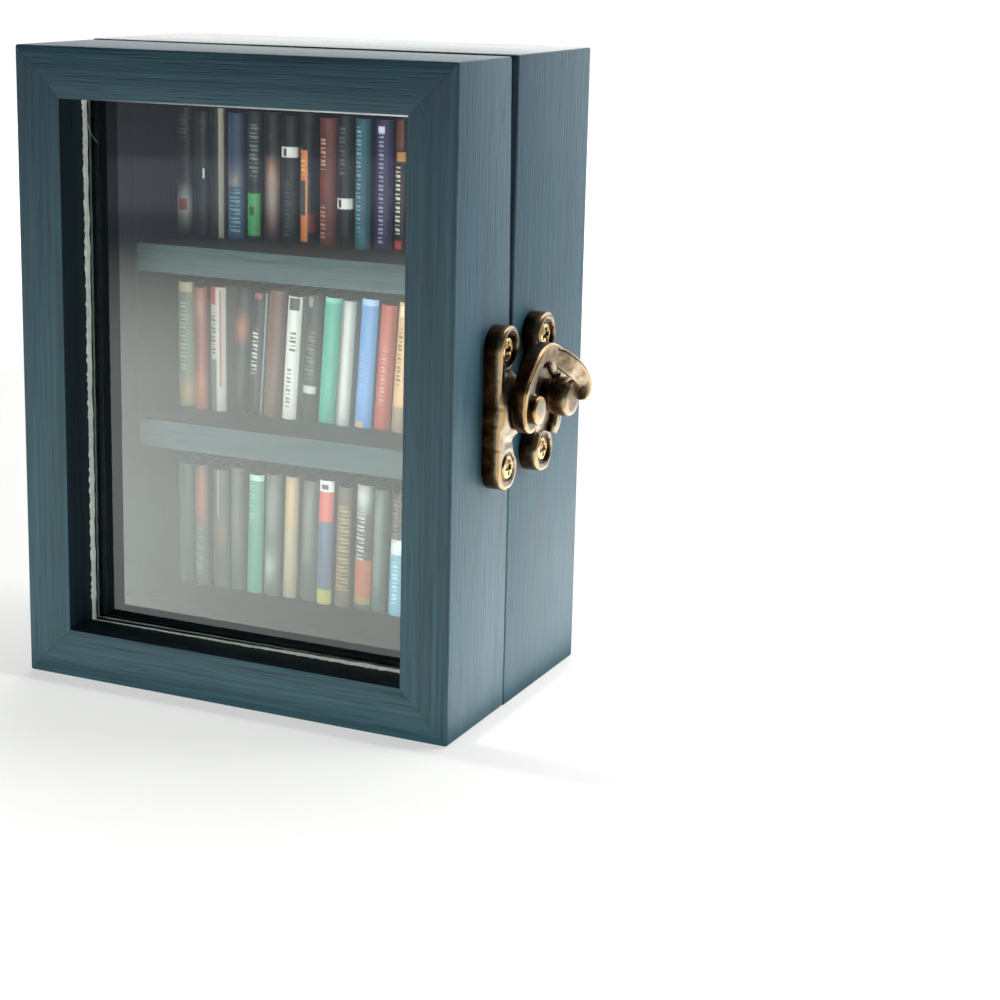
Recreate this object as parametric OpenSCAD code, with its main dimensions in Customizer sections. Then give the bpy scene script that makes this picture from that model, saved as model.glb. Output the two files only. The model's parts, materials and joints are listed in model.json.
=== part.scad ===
// Book-nook display case: a shelved wooden case of miniature books behind a glazed door.
// Front faces -Y, latch on +X, hinges on -X. Origin: centre of the case's underside. Millimetres.

/* [Books] */
// Height of a book, before each one's own difference
book_h = 27.4; // [24:0.1:28]
// Largest difference of a book's height from the usual one
book_h_vary = 0.5; // [0:0.1:0.8]
// Thickness of a book, before each one's own difference
book_t = 3.65; // [3.2:0.05:3.8]
// Largest difference of a book's thickness from the usual one
book_t_vary = 0.35; // [0:0.05:0.4]
// Depth of a book from spine to fore-edge
book_d = 20.1; // [16:0.1:24]
// Distance from one book to the next
book_pitch = 4.4; // [4.3:0.05:5]
// Thickness of a printed cover
cover_t = 0.4; // [0.3:0.05:0.6]
// How far the page block stays inside its cover
page_inset = 0.5; // [0.2:0.1:1]
// Lean of the middle row's books, in degrees
middle_lean = 2.4; // [0:0.1:3]
// How many books of the middle row stand upright before the leaning ones
middle_upright = 3; // [1:1:6]
// Lean of the bottom row's books, in degrees
bottom_lean = 1.1; // [0:0.1:2]
// How many books of the bottom row stand upright before the leaning ones
bottom_upright = 4; // [1:1:6]
// Distance of the foremost spines behind the case's front
book_setback = 14.1; // [10:0.1:20]
// How much further back the rearmost spine of a row stands
book_stagger = 0.9; // [0.1:0.1:1.5]
// Free space beside the first book of a row
book_side = 0.3; // [0.1:0.05:0.8]

/* [Case] */
// Width of the opening between the side boards
inner_w = 76.8; // [70:0.2:100]
// Height of the bottom bay
bottom_bay_h = 34.3; // [31:0.1:45]
// Height of the middle bay
middle_bay_h = 32.1; // [31:0.1:45]
// Height of the top bay
top_bay_h = 32; // [31:0.1:45]
// Thickness of the frame boards
board_t = 10.3; // [9.5:0.1:13]
// Thickness of a shelf
shelf_t = 6; // [4:0.1:9]
// How far the shelves' fronts lie behind the case's front
shelf_setback = 0.3; // [0:0.1:3]
// Thickness of the back panel
back_t = 2; // [1.5:0.1:4]
// Width of the rebate that the back panel sits in
rebate_w = 3; // [2:0.1:5]

/* [Door] */
// Depth of the door
door_d = 27; // [24:0.1:34]
// Gap between the closed door and the case
door_gap = 0.2; // [0.1:0.05:0.5]
// How much the door stays short of the case at its top and at its foot
door_clear = 0.2; // [0.1:0.05:0.6]
// How far the warped door stands off at its top latch corner
warp_gap = 3.1; // [0.5:0.1:4]
// Length of the latch side that the warp runs down
warp_len = 84; // [60:1:100]
// Depth of the glass behind the door's front
glass_setback = 8.3; // [5:0.1:12]
// Thickness of the glass
glass_t = 2; // [1.5:0.1:3]
// Depth of the groove that the glass sits in
groove_depth = 1.5; // [1:0.1:2]
// Clearance round the glass in its groove
groove_clear = 0.1; // [0.05:0.05:0.3]
// Height of the glue beads on the boards
glue_h = 0.4; // [0.2:0.1:0.8]
// Width of the glue beads
glue_w = 0.6; // [0.3:0.1:1.2]

/* [Hinges] */
// Length of a hinge
hinge_len = 25; // [20:0.5:32]
// Distance of the hinges from the case's top and foot
hinge_inset = 15; // [8:0.5:20]
// Outer radius of a knuckle
knuckle_r = 2.1; // [1.8:0.05:2.3]
// Number of knuckles, half of them on each leaf
knuckle_count = 4; // [2:2:6]
// Gap between two knuckles
knuckle_gap = 0.2; // [0.1:0.05:0.4]
// Distance of the hinge axis from the case's side
axis_out = 2.4; // [2.35:0.05:3]
// Thickness of a leaf
leaf_t = 0.8; // [0.5:0.05:1]
// Width of a leaf from the seam
leaf_w = 9; // [7:0.1:12]
// Radius of a hinge pin
pin_r = 1; // [0.7:0.05:1.2]
// Running clearance round a pin or a rivet
run_clear = 0.05; // [0.03:0.01:0.09]
// Radius of a hinge screw's head
small_head_r = 1.4; // [1.1:0.05:1.7]
// Radius of a hinge screw's shank
small_shank_r = 0.6; // [0.4:0.05:0.8]
// Length of a hinge screw in the wood
small_screw_l = 6; // [4:0.5:8]

/* [Latch] */
// Height of the latch's middle above the underside
latch_z = 64.1; // [40:0.1:90]
// Distance of the hook plate's middle from the door's rear face
hook_plate_in = 8.8; // [8.5:0.1:12]
// Distance of the catch's middle from the case's front
catch_in = 9.2; // [8.5:0.1:14]
// Distance from the middle of a latch plate to its screws
plate_screw_z = 11.6; // [11:0.1:14]
// Radius of a latch plate's ends
lobe_r = 4.6; // [4.2:0.1:5.2]
// Thickness of the latch plates
plate_t = 3; // [2.6:0.1:3.6]
// Depth of the dish round a latch screw
dish_d = 0.6; // [0.3:0.1:1]
// Width of the chamfer round the plates' outer edges
plate_chamfer = 0.7; // [0.3:0.05:1]
// Distance of the hook's pivot from the hook plate's middle, towards the case
pivot_off = 1.4; // [0.5:0.1:2]
// Height of the boss under the hook
hump_h = 1.7; // [1:0.1:2.5]
// Radius of the boss at its foot
hump_r = 6; // [5:0.1:6.6]
// Radius of the catch plate's round middle
catch_mid_r = 7; // [6:0.1:7.6]
// Radius of the knob's head
knob_r = 3.1; // [2.6:0.1:3.4]
// Radius of the knob's neck
neck_r = 2.3; // [1.8:0.1:2.5]
// Length of the knob's neck
neck_l = 1.3; // [1:0.1:2]
// Length of the knob's head
knob_l = 4.3; // [3:0.1:5]
// Radius of the knob's tenon and of the rivet
rivet_r = 1.2; // [1:0.05:1.4]
// Radius of the rivet's head
rivet_head_r = 2.7; // [2.2:0.1:3]
// Height of the rivet's head
rivet_head_h = 1.6; // [1:0.1:2]
// Radius of a latch screw's head
screw_head_r = 2.6; // [2.2:0.05:2.9]
// Height of a latch screw's head
screw_head_h = 1.2; // [0.9:0.1:1.5]
// Radius of a latch screw's shank
screw_shank_r = 1; // [0.8:0.05:1.2]
// Length of a latch screw in the wood
screw_l = 6.5; // [5:0.5:8]

/* [Hook] */
// Thickness of the hook
hook_t = 2; // [1.6:0.1:2.4]
// Radius of the hook's eye
eye_r = 4.2; // [3.8:0.1:4.6]
// Outer radius of the hook's arc
arc_r = 11.3; // [10.5:0.1:12]
// Width of the hook's arm
arm_w = 4; // [3:0.1:4.4]
// Distance of the arc's centre from the pivot, towards the case
arc_off = 6.8; // [6.4:0.1:7.4]
// How much higher the arc lies than the eye
arc_rise = 1; // [0.5:0.1:1.4]
// Clearance between the hook and what it passes
hook_clear = 0.4; // [0.3:0.05:0.6]
// Width of the hook's leg behind the knob
leg_w = 2.4; // [1.8:0.1:3]
// Thickness of the hook's leg
leg_t = 1.6; // [1.2:0.1:2]
// Angle that the leg reaches below the pivot's level, in degrees
leg_drop = 22; // [10:1:30]
// Radius of the finger tab's end
tab_r = 2.2; // [1.8:0.1:2.6]
// Length of the finger tab up to the middle of its round end
tab_l = 4.6; // [3:0.1:5.5]

/* [Hidden] */
$fn = 48;
// Small overlap that makes a cut pass clear of a face.
cut = 1;
// Clearance of screws in their holes, and of rivets in what holds them.
fit = 0.03;

// The case and the door from their parts.
case_w = inner_w + 2 * board_t;
case_h = 2 * board_t + bottom_bay_h + middle_bay_h + top_bay_h + 2 * shelf_t;
case_d = book_setback + book_stagger + book_d + back_t;
case_front = -case_d / 2;
case_back = case_d / 2;
back_inner = case_back - back_t;
bottom_z = board_t;
lower_shelf_z = board_t + bottom_bay_h + shelf_t;
upper_shelf_z = lower_shelf_z + middle_bay_h + shelf_t;
inner_top_z = case_h - board_t;
door_rear = case_front - door_gap;
door_front = door_rear - door_d;
door_h = case_h - 2 * door_clear;
glass_front = door_front + glass_setback;

// Books: as many as fit with the lean of the middle row.
book_room = inner_w - 2 * book_side - (book_h + book_h_vary) * sin(middle_lean);
book_count = floor(book_room / book_pitch);
function row_seed(row) = 40 + 71 * row;
function this_book_t(row, i) = book_t + book_t_vary * sin(137 * i + row_seed(row));
function this_book_h(row, i) = book_h + book_h_vary * sin(211 * i + row_seed(row));
function this_book_y(row, i) = case_front + book_setback + book_stagger * (0.5 + 0.5 * sin(97 * i + row_seed(row)));
function row_z(row) = [upper_shelf_z, lower_shelf_z, bottom_z][row];
function row_lean(row) = [0, middle_lean, bottom_lean][row];
function row_upright(row) = [book_count, middle_upright, bottom_upright][row];

// Hinges.
hinge_x = -case_w / 2 - axis_out;
hinge_y = case_front;
upper_hinge_z = case_h - hinge_inset - hinge_len;
lower_hinge_z = hinge_inset;
knuckle_l = hinge_len / knuckle_count;
leaf_start = knuckle_r + 0.3;
small_head_h = leaf_t * 0.75;
hinge_screw_y = (leaf_start + leaf_w) / 2;

// Latch: heights are measured outwards from the case's side.
pivot_y = door_rear - hook_plate_in + pivot_off;
hook_plate_y = door_rear - hook_plate_in;
catch_y = case_front + catch_in;
reach = catch_y - pivot_y;
eye_h = plate_t + hump_h + run_clear;
arc_h = eye_h + arc_rise;
rivet_head_z = eye_h + hook_t + run_clear;
leg_h = plate_t + 0.3;
leg_in = reach + knob_r + hook_clear;
leg_mid = leg_in + leg_w / 2;
arc_mid = arc_r - arm_w / 2;
arc_end = 40;
arc_foot = 160;
leg_root = 14;
blend = 0.15;
tab_back = 1.4;
tab_turn = 65;
tab_pitch = 51;
tab_t = 1.2;
screw_top = plate_t - dish_d;

// Stands its children on the latch side: their X along +Y, their Y up, their Z outwards.
module on_latch_side(y, z) {
    translate([case_w / 2, y, z]) rotate([90, 0, 90]) children();
}

// Stands its children on the hinge side: their X along -Y, their Y up, their Z outwards.
module on_hinge_side(y, z) {
    translate([-case_w / 2, y, z]) rotate([90, 0, -90]) children();
}

// One mitred board of a rectangular frame, as an outline from corner to corner.
module board(outer, inner, front, depth) {
    translate([0, front + depth, 0]) rotate([90, 0, 0]) linear_extrude(depth)
        polygon([outer[0], outer[1], inner[1], inner[0]]);
}

// The four boards of a frame of this height, standing at z.
module top_board(h, z, front, depth) {
    board([[-case_w / 2, z + h], [case_w / 2, z + h]],
        [[-inner_w / 2, z + h - board_t], [inner_w / 2, z + h - board_t]], front, depth);
}

module bottom_board(h, z, front, depth) {
    board([[-case_w / 2, z], [case_w / 2, z]],
        [[-inner_w / 2, z + board_t], [inner_w / 2, z + board_t]], front, depth);
}

module side_board(side, h, z, front, depth) {
    board([[side * case_w / 2, z], [side * case_w / 2, z + h]],
        [[side * inner_w / 2, z + board_t], [side * inner_w / 2, z + h - board_t]], front, depth);
}

// ---- case ----

// The rebate round the back of the case boards.
module back_rebate() {
    translate([-inner_w / 2 - rebate_w, back_inner, board_t - rebate_w])
        cube([inner_w + 2 * rebate_w, back_t + cut, case_h - 2 * board_t + 2 * rebate_w]);
}

module case_top_rail() {
    color("#2f5561") difference() {
        top_board(case_h, 0, case_front, case_d);
        back_rebate();
    }
}

module case_bottom_rail() {
    color("#2f5561") difference() {
        bottom_board(case_h, 0, case_front, case_d);
        back_rebate();
    }
}

module case_left_stile() {
    color("#2f5561") difference() {
        side_board(-1, case_h, 0, case_front, case_d);
        back_rebate();
        for (z = hinge_screw_heights()) on_hinge_side(case_front + hinge_screw_y, z) small_pilot();
    }
}

module case_right_stile() {
    color("#2f5561") difference() {
        side_board(1, case_h, 0, case_front, case_d);
        back_rebate();
        for (s = [-1, 1]) on_latch_side(catch_y, latch_z + s * plate_screw_z) latch_pilot();
    }
}

module back_panel() {
    color("#1d2c33") translate([-inner_w / 2 - rebate_w, back_inner, board_t - rebate_w])
        cube([inner_w + 2 * rebate_w, back_t, case_h - 2 * board_t + 2 * rebate_w]);
}

module shelf(top) {
    translate([-inner_w / 2, case_front + shelf_setback, top - shelf_t])
        cube([inner_w, case_d - back_t - shelf_setback, shelf_t]);
}

module upper_shelf() {
    color("#33525e") shelf(upper_shelf_z);
}

module lower_shelf() {
    color("#33525e") shelf(lower_shelf_z);
}

// ---- books ----

// A book's outline from above: round at the spine, which lies at y = 0.
module book_outline(t, d) {
    spine_r = t * 0.6;
    sag = spine_r - sqrt(spine_r * spine_r - t * t / 4);
    union() {
        translate([-t / 2, sag]) square([t, d - sag]);
        intersection() {
            translate([0, spine_r]) circle(spine_r);
            translate([-t / 2, 0]) square([t, sag + 0.05]);
        }
    }
}

// Puts its children in a book's place: its lower right edge on the shelf, leaning to the right.
module book_place(row, i) {
    t = this_book_t(row, i);
    lean = i < row_upright(row) ? 0 : row_lean(row);
    translate([-inner_w / 2 + book_side + i * book_pitch + t, this_book_y(row, i), row_z(row)])
        rotate([0, lean, 0]) translate([-t / 2, 0, 0]) children();
}

// The printed covers of one row: front, spine and back in one wrap.
module row_covers(row) {
    for (i = [0 : book_count - 1]) book_place(row, i)
        linear_extrude(this_book_h(row, i)) difference() {
            book_outline(this_book_t(row, i), book_d);
            translate([0, cover_t]) book_outline(this_book_t(row, i) - 2 * cover_t, book_d);
        }
}

// The page blocks of one row.
module row_pages(row) {
    for (i = [0 : book_count - 1]) book_place(row, i)
        translate([0, cover_t, page_inset]) linear_extrude(this_book_h(row, i) - 2 * page_inset)
            book_outline(this_book_t(row, i) - 2 * cover_t, book_d - cover_t - page_inset);
}

module top_row_covers() {
    color("#20262b") row_covers(0);
}

module top_row_pages() {
    color("#e4dcc8") row_pages(0);
}

module middle_row_covers() {
    color("#8c4a3a") row_covers(1);
}

module middle_row_pages() {
    color("#e4dcc8") row_pages(1);
}

module bottom_row_covers() {
    color("#5f6f6c") row_covers(2);
}

module bottom_row_pages() {
    color("#e4dcc8") row_pages(2);
}

// ---- door ----

// The groove for the glass, all round the door's opening.
module glass_groove() {
    w = inner_w + 2 * groove_depth;
    h = door_h - 2 * board_t + 2 * groove_depth;
    translate([-w / 2, glass_front - groove_clear / 2, door_clear + board_t - groove_depth])
        cube([w, glass_t + groove_clear, h]);
}

// What the warp takes off the door's rear face: a plane that meets it along a slanting line.
module warp_relief() {
    slope_x = warp_gap / case_w;
    slope_z = warp_gap / warp_len;
    size = 2 * case_h;
    translate([-case_w / 2, door_rear, door_clear + door_h])
        rotate(a = atan(sqrt(slope_x * slope_x + slope_z * slope_z)), v = [slope_z, 0, -slope_x])
            translate([-size, 0, -size]) cube([2 * size, 2 * warp_gap + cut, 2 * size]);
}

module door_top_rail() {
    color("#2f5561") difference() {
        top_board(door_h, door_clear, door_front, door_d);
        glass_groove();
        warp_relief();
    }
}

module door_bottom_rail() {
    color("#2f5561") difference() {
        bottom_board(door_h, door_clear, door_front, door_d);
        glass_groove();
    }
}

module door_left_stile() {
    color("#2f5561") difference() {
        side_board(-1, door_h, door_clear, door_front, door_d);
        glass_groove();
        for (z = hinge_screw_heights()) on_hinge_side(case_front - hinge_screw_y, z) small_pilot();
    }
}

module door_right_stile() {
    color("#2f5561") difference() {
        side_board(1, door_h, door_clear, door_front, door_d);
        glass_groove();
        warp_relief();
        for (s = [-1, 1]) on_latch_side(hook_plate_y, latch_z + s * plate_screw_z) latch_pilot();
    }
}

module glass_pane() {
    edge = groove_depth - groove_clear;
    color("#b9c6c4", 0.4) translate([-inner_w / 2 - edge, glass_front, door_clear + board_t - edge])
        cube([inner_w + 2 * edge, glass_t, door_h - 2 * board_t + 2 * edge]);
}

// A glue bead all round the glass, on the boards in front of it or behind it.
module glue_bead(front) {
    translate([0, front, 0]) difference() {
        translate([-inner_w / 2, 0, door_clear + board_t])
            cube([inner_w, glue_w, door_h - 2 * board_t]);
        translate([-inner_w / 2 + glue_h, -cut, door_clear + board_t + glue_h])
            cube([inner_w - 2 * glue_h, glue_w + 2 * cut, door_h - 2 * board_t - 2 * glue_h]);
    }
}

module front_glue_bead() {
    color("#dfe5e2") glue_bead(glass_front - glue_w);
}

module rear_glue_bead() {
    color("#dfe5e2") glue_bead(glass_front + glass_t);
}

// ---- hinges ----

// Heights of all hinge screws, on both leaves alike.
function hinge_screw_heights() = [
    for (z = [lower_hinge_z, upper_hinge_z]) for (s = [0.25, 0.75]) z + s * hinge_len
];

// A screw whose head's top lies at z = 0, with a cross recess.
module screw(head_r, head_h, shank_r, length) {
    slot_w = head_r * 0.24;
    slot_l = head_r * 1.25;
    difference() {
        union() {
            translate([0, 0, -head_h]) cylinder(r1 = shank_r, r2 = head_r, h = head_h);
            translate([0, 0, -length]) cylinder(r = shank_r, h = length - head_h);
        }
        for (turn = [0, 90]) rotate([0, 0, turn]) translate([-slot_l / 2, -slot_w / 2, -head_h * 0.55])
            cube([slot_l, slot_w, head_h]);
    }
}

// The countersunk hole that this screw passes through.
module screw_hole(head_r, head_h, shank_r, length) {
    cone = (head_r - shank_r) / head_h;
    translate([0, 0, -head_h]) cylinder(r1 = shank_r + fit, r2 = head_r + fit + cone * fit, h = head_h);
    translate([0, 0, -length]) cylinder(r = shank_r + fit, h = length);
    cylinder(r = head_r + fit, h = cut);
}

module small_pilot() {
    translate([0, 0, -small_screw_l - fit]) cylinder(r = small_shank_r + fit, h = small_screw_l + cut);
}

module latch_pilot() {
    translate([0, 0, -screw_l - fit]) cylinder(r = screw_shank_r + fit, h = screw_l + cut);
}

// One hinge leaf standing at z. side is 1 for the case's leaf and -1 for the door's.
module hinge_leaf(z, side) {
    first = side > 0 ? 0 : 1;
    web = side > 0 ? 0 : -leaf_start;
    flat = side > 0 ? leaf_start : -leaf_w;
    difference() {
        union() {
            translate([-case_w / 2 - leaf_t, hinge_y + flat, z]) cube([leaf_t, leaf_w - leaf_start, hinge_len]);
            for (k = [first : 2 : knuckle_count - 1]) {
                low = z + k * knuckle_l + knuckle_gap / 2;
                translate([hinge_x, hinge_y, low]) cylinder(r = knuckle_r, h = knuckle_l - knuckle_gap);
                translate([-case_w / 2 - leaf_t, hinge_y + web, low])
                    cube([leaf_t, leaf_start, knuckle_l - knuckle_gap]);
            }
        }
        translate([hinge_x, hinge_y, z - cut]) cylinder(r = pin_r + run_clear, h = hinge_len + 2 * cut);
        for (s = [0.25, 0.75]) on_hinge_side(hinge_y + side * hinge_screw_y, z + s * hinge_len)
            translate([0, 0, leaf_t]) screw_hole(small_head_r, small_head_h, small_shank_r, leaf_t + cut);
    }
}

module hinge_pin(z) {
    translate([hinge_x, hinge_y, z]) cylinder(r = pin_r, h = hinge_len);
}

module hinge_screws(side) {
    for (z = hinge_screw_heights()) on_hinge_side(hinge_y + side * hinge_screw_y, z)
        translate([0, 0, leaf_t]) screw(small_head_r, small_head_h, small_shank_r, small_screw_l + leaf_t);
}

module upper_hinge_case_leaf() {
    color("#b08a3e") hinge_leaf(upper_hinge_z, 1);
}

module lower_hinge_case_leaf() {
    color("#b08a3e") hinge_leaf(lower_hinge_z, 1);
}

module upper_hinge_door_leaf() {
    color("#b08a3e") hinge_leaf(upper_hinge_z, -1);
}

module lower_hinge_door_leaf() {
    color("#b08a3e") hinge_leaf(lower_hinge_z, -1);
}

module upper_hinge_pin() {
    color("#8c6c30") hinge_pin(upper_hinge_z);
}

module lower_hinge_pin() {
    color("#8c6c30") hinge_pin(lower_hinge_z);
}

module hinge_case_screws() {
    color("#c79f4c") hinge_screws(1);
}

module hinge_door_screws() {
    color("#c79f4c") hinge_screws(-1);
}

// ---- latch ----

// A round block with a chamfered top edge.
module chamfered_disc(r, h) {
    cylinder(r = r, h = h - plate_chamfer);
    translate([0, 0, h - plate_chamfer]) cylinder(r1 = r, r2 = r - plate_chamfer, h = plate_chamfer);
}

// A straight block of this width and length with chamfered long edges, along Y.
module chamfered_bar(w, l, h) {
    translate([0, l / 2, 0]) rotate([90, 0, 0]) linear_extrude(l) polygon([
        [-w / 2, 0], [w / 2, 0], [w / 2, h - plate_chamfer], [w / 2 - plate_chamfer, h],
        [-w / 2 + plate_chamfer, h], [-w / 2, h - plate_chamfer]
    ]);
}

// What both latch plates share: two round ends, the bar between them, dishes and screw holes.
module latch_plate_blank() {
    for (s = [-1, 1]) translate([0, s * plate_screw_z, 0]) chamfered_disc(lobe_r, plate_t);
    chamfered_bar(2 * lobe_r, 2 * plate_screw_z, plate_t);
}

module latch_plate_holes() {
    for (s = [-1, 1]) translate([0, s * plate_screw_z, screw_top]) {
        screw_hole(screw_head_r, screw_head_h, screw_shank_r, screw_top + cut);
        cylinder(r1 = screw_head_r + fit, r2 = lobe_r - plate_chamfer, h = dish_d);
    }
}

module latch_screws() {
    for (s = [-1, 1]) translate([0, s * plate_screw_z, screw_top])
        screw(screw_head_r, screw_head_h, screw_shank_r, screw_l + screw_top);
}

module hook_plate() {
    color("#6b5636") on_latch_side(hook_plate_y, latch_z) difference() {
        union() {
            latch_plate_blank();
            translate([pivot_off, 0, 0]) {
                chamfered_disc(hump_r, plate_t);
                cylinder(r1 = hump_r, r2 = eye_r, h = plate_t + hump_h);
            }
        }
        latch_plate_holes();
        translate([pivot_off, 0, -cut]) cylinder(r = rivet_r + fit, h = plate_t + hump_h + 2 * cut);
    }
}

// The rivet that the hook turns on, with a domed head.
module hook_rivet() {
    color("#7d6540") on_latch_side(pivot_y, latch_z) {
        translate([0, 0, fit]) cylinder(r = rivet_r, h = rivet_head_z);
        translate([0, 0, rivet_head_z]) chamfered_head(rivet_head_r, rivet_head_h);
    }
}

// A round head with a softly domed end.
module chamfered_head(r, h) {
    dome = h * 0.35;
    cylinder(r = r, h = h - dome);
    translate([0, 0, h - dome]) cylinder(r1 = r, r2 = r * 0.72, h = dome);
}

module hook_plate_screws() {
    color("#b39350") on_latch_side(hook_plate_y, latch_z) latch_screws();
}

module catch_plate() {
    color("#6b5636") on_latch_side(catch_y, latch_z) difference() {
        union() {
            latch_plate_blank();
            chamfered_disc(catch_mid_r, plate_t);
        }
        latch_plate_holes();
        translate([0, 0, -cut]) cylinder(r = rivet_r + fit, h = plate_t + 2 * cut);
    }
}

// The knob: a tenon in the plate, a neck and a thicker head.
module catch_knob() {
    color("#7d6540") on_latch_side(catch_y, latch_z) {
        translate([0, 0, fit]) cylinder(r = rivet_r, h = plate_t);
        translate([0, 0, plate_t]) cylinder(r = neck_r, h = neck_l);
        translate([0, 0, plate_t + neck_l]) chamfered_head(knob_r, knob_l);
    }
}

module catch_screws() {
    color("#b39350") on_latch_side(catch_y, latch_z) latch_screws();
}

// A flat ring segment about its own centre, from angle start over sweep.
module ring_part(r_in, r_out, start, sweep, h, t) {
    rotate([0, 0, start]) rotate_extrude(angle = sweep) translate([r_in, h]) square([r_out - r_in, t]);
}

// A flat strip from the origin along X, with one round end or two.
module strip(length, r, thickness, both_ends) {
    linear_extrude(thickness) union() {
        translate([0, -r]) square([length, 2 * r]);
        translate([length, 0]) circle(r);
        if (both_ends) circle(r);
    }
}

// The hook: eye, arc over the knob, leg down behind it, and a tab for the finger.
module hook() {
    end_y = arc_off + arc_mid * cos(arc_end);
    end_z = arc_mid * sin(arc_end);
    root_y = leg_mid * cos(leg_root);
    root_z = leg_mid * sin(leg_root);
    bridge_y = root_y - end_y;
    bridge_z = root_z - end_z;
    color("#75603c") on_latch_side(pivot_y, latch_z) difference() {
        union() {
            translate([0, 0, eye_h]) cylinder(r = eye_r, h = hook_t);
            translate([arc_off, 0, 0]) {
                rotate([0, 0, arc_foot]) translate([arc_mid, 0, eye_h + 2 * blend])
                    cylinder(r = arm_w / 2 - 2 * blend, h = hook_t - 4 * blend);
                ring_part(arc_r - arm_w + blend, arc_r - blend, arc_foot - 40, 40, eye_h + blend,
                    hook_t - 2 * blend);
                ring_part(arc_r - arm_w, arc_r, arc_end - 6, 156 - arc_end, arc_h, hook_t);
            }
            translate([end_y, end_z, arc_h + blend]) rotate([0, 0, atan2(bridge_z, bridge_y)])
                strip(norm([bridge_y, bridge_z]), arm_w / 2 - blend, hook_t - 2 * blend, true);
            translate([root_y, root_z, leg_h + blend]) cylinder(r = leg_w / 2 + blend, h = arc_h - leg_h + 1);
            ring_part(leg_in, leg_in + leg_w, -leg_drop, leg_drop + leg_root, leg_h, leg_t);
            rotate([0, 0, -leg_drop]) translate([leg_mid, 0, leg_h + blend])
                cylinder(r = leg_w / 2 - blend, h = leg_t - 2 * blend);
            translate([root_y - tab_back, root_z, arc_h + 2 * blend]) rotate([0, 0, -tab_turn])
                rotate([0, -tab_pitch, 0]) strip(tab_l, tab_r, tab_t, false);
        }
        translate([0, 0, eye_h - cut]) cylinder(r = rivet_r + run_clear, h = hook_t + 2 * cut);
    }
}

case_top_rail();
case_bottom_rail();
case_left_stile();
case_right_stile();
back_panel();
upper_shelf();
lower_shelf();
top_row_covers();
top_row_pages();
middle_row_covers();
middle_row_pages();
bottom_row_covers();
bottom_row_pages();
upper_hinge_case_leaf();
lower_hinge_case_leaf();
upper_hinge_pin();
lower_hinge_pin();
hinge_case_screws();
catch_plate();
catch_knob();
catch_screws();
door_top_rail();
door_bottom_rail();
door_left_stile();
door_right_stile();
glass_pane();
front_glue_bead();
rear_glue_bead();
upper_hinge_door_leaf();
lower_hinge_door_leaf();
hinge_door_screws();
hook_plate();
hook_rivet();
hook_plate_screws();
hook();
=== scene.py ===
# %% [markdown]
# # A glazed display case of miniature books
# The case is a small wooden cupboard: a shelved box behind a deep door with a glass pane, hung on two brass
# hinges and closed by a bronze hook. This notebook dresses the solid model, one kind of piece at a time.

# %% Load the solid model
import json
import math
import bmesh
import bpy
from mathutils import Matrix, Vector, noise

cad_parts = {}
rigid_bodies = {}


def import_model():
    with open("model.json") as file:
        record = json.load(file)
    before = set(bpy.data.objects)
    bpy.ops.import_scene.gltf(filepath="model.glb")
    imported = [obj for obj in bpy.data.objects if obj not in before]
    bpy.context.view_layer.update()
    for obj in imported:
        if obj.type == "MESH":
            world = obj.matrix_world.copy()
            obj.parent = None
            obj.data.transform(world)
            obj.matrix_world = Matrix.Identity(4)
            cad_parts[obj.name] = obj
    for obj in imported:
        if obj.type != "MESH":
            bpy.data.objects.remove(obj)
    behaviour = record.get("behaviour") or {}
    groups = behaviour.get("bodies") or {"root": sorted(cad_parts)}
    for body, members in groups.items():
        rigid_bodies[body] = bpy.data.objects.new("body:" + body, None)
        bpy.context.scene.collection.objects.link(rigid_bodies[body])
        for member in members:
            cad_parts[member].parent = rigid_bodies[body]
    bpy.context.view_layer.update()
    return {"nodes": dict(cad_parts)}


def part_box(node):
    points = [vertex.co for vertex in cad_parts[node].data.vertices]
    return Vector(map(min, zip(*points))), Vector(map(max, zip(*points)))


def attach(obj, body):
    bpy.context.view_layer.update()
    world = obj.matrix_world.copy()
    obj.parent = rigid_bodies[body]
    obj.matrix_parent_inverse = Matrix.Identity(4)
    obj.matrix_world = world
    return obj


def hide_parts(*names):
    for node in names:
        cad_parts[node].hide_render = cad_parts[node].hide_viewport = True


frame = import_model()
MM = 0.001

# %% Sizes of the case and the door
case_lo, case_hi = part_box("case_left_stile")[0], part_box("case_right_stile")[1]
door_lo, door_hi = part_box("door_left_stile")[0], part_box("door_right_stile")[1]
half_w = case_hi[0]
board_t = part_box("case_left_stile")[1][0] + half_w
inner_w = 2 * (half_w - board_t)
case_h = case_hi[2]
panel_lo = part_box("back_panel")[0]
glass_lo, glass_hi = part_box("glass_pane")
print("case %.1f x %.1f x %.1f mm" % (2 * half_w / MM, (case_hi[1] - door_lo[1]) / MM, case_h / MM))

# %% [markdown]
# The camera stands in front, a little to the right and a little above, as close as one stands to look at a
# thing that fits in a hand. A long way off the lines would run parallel; this near they converge. The lens
# shift keeps the case left of the middle, as in a picture with room for something beside it.

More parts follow.
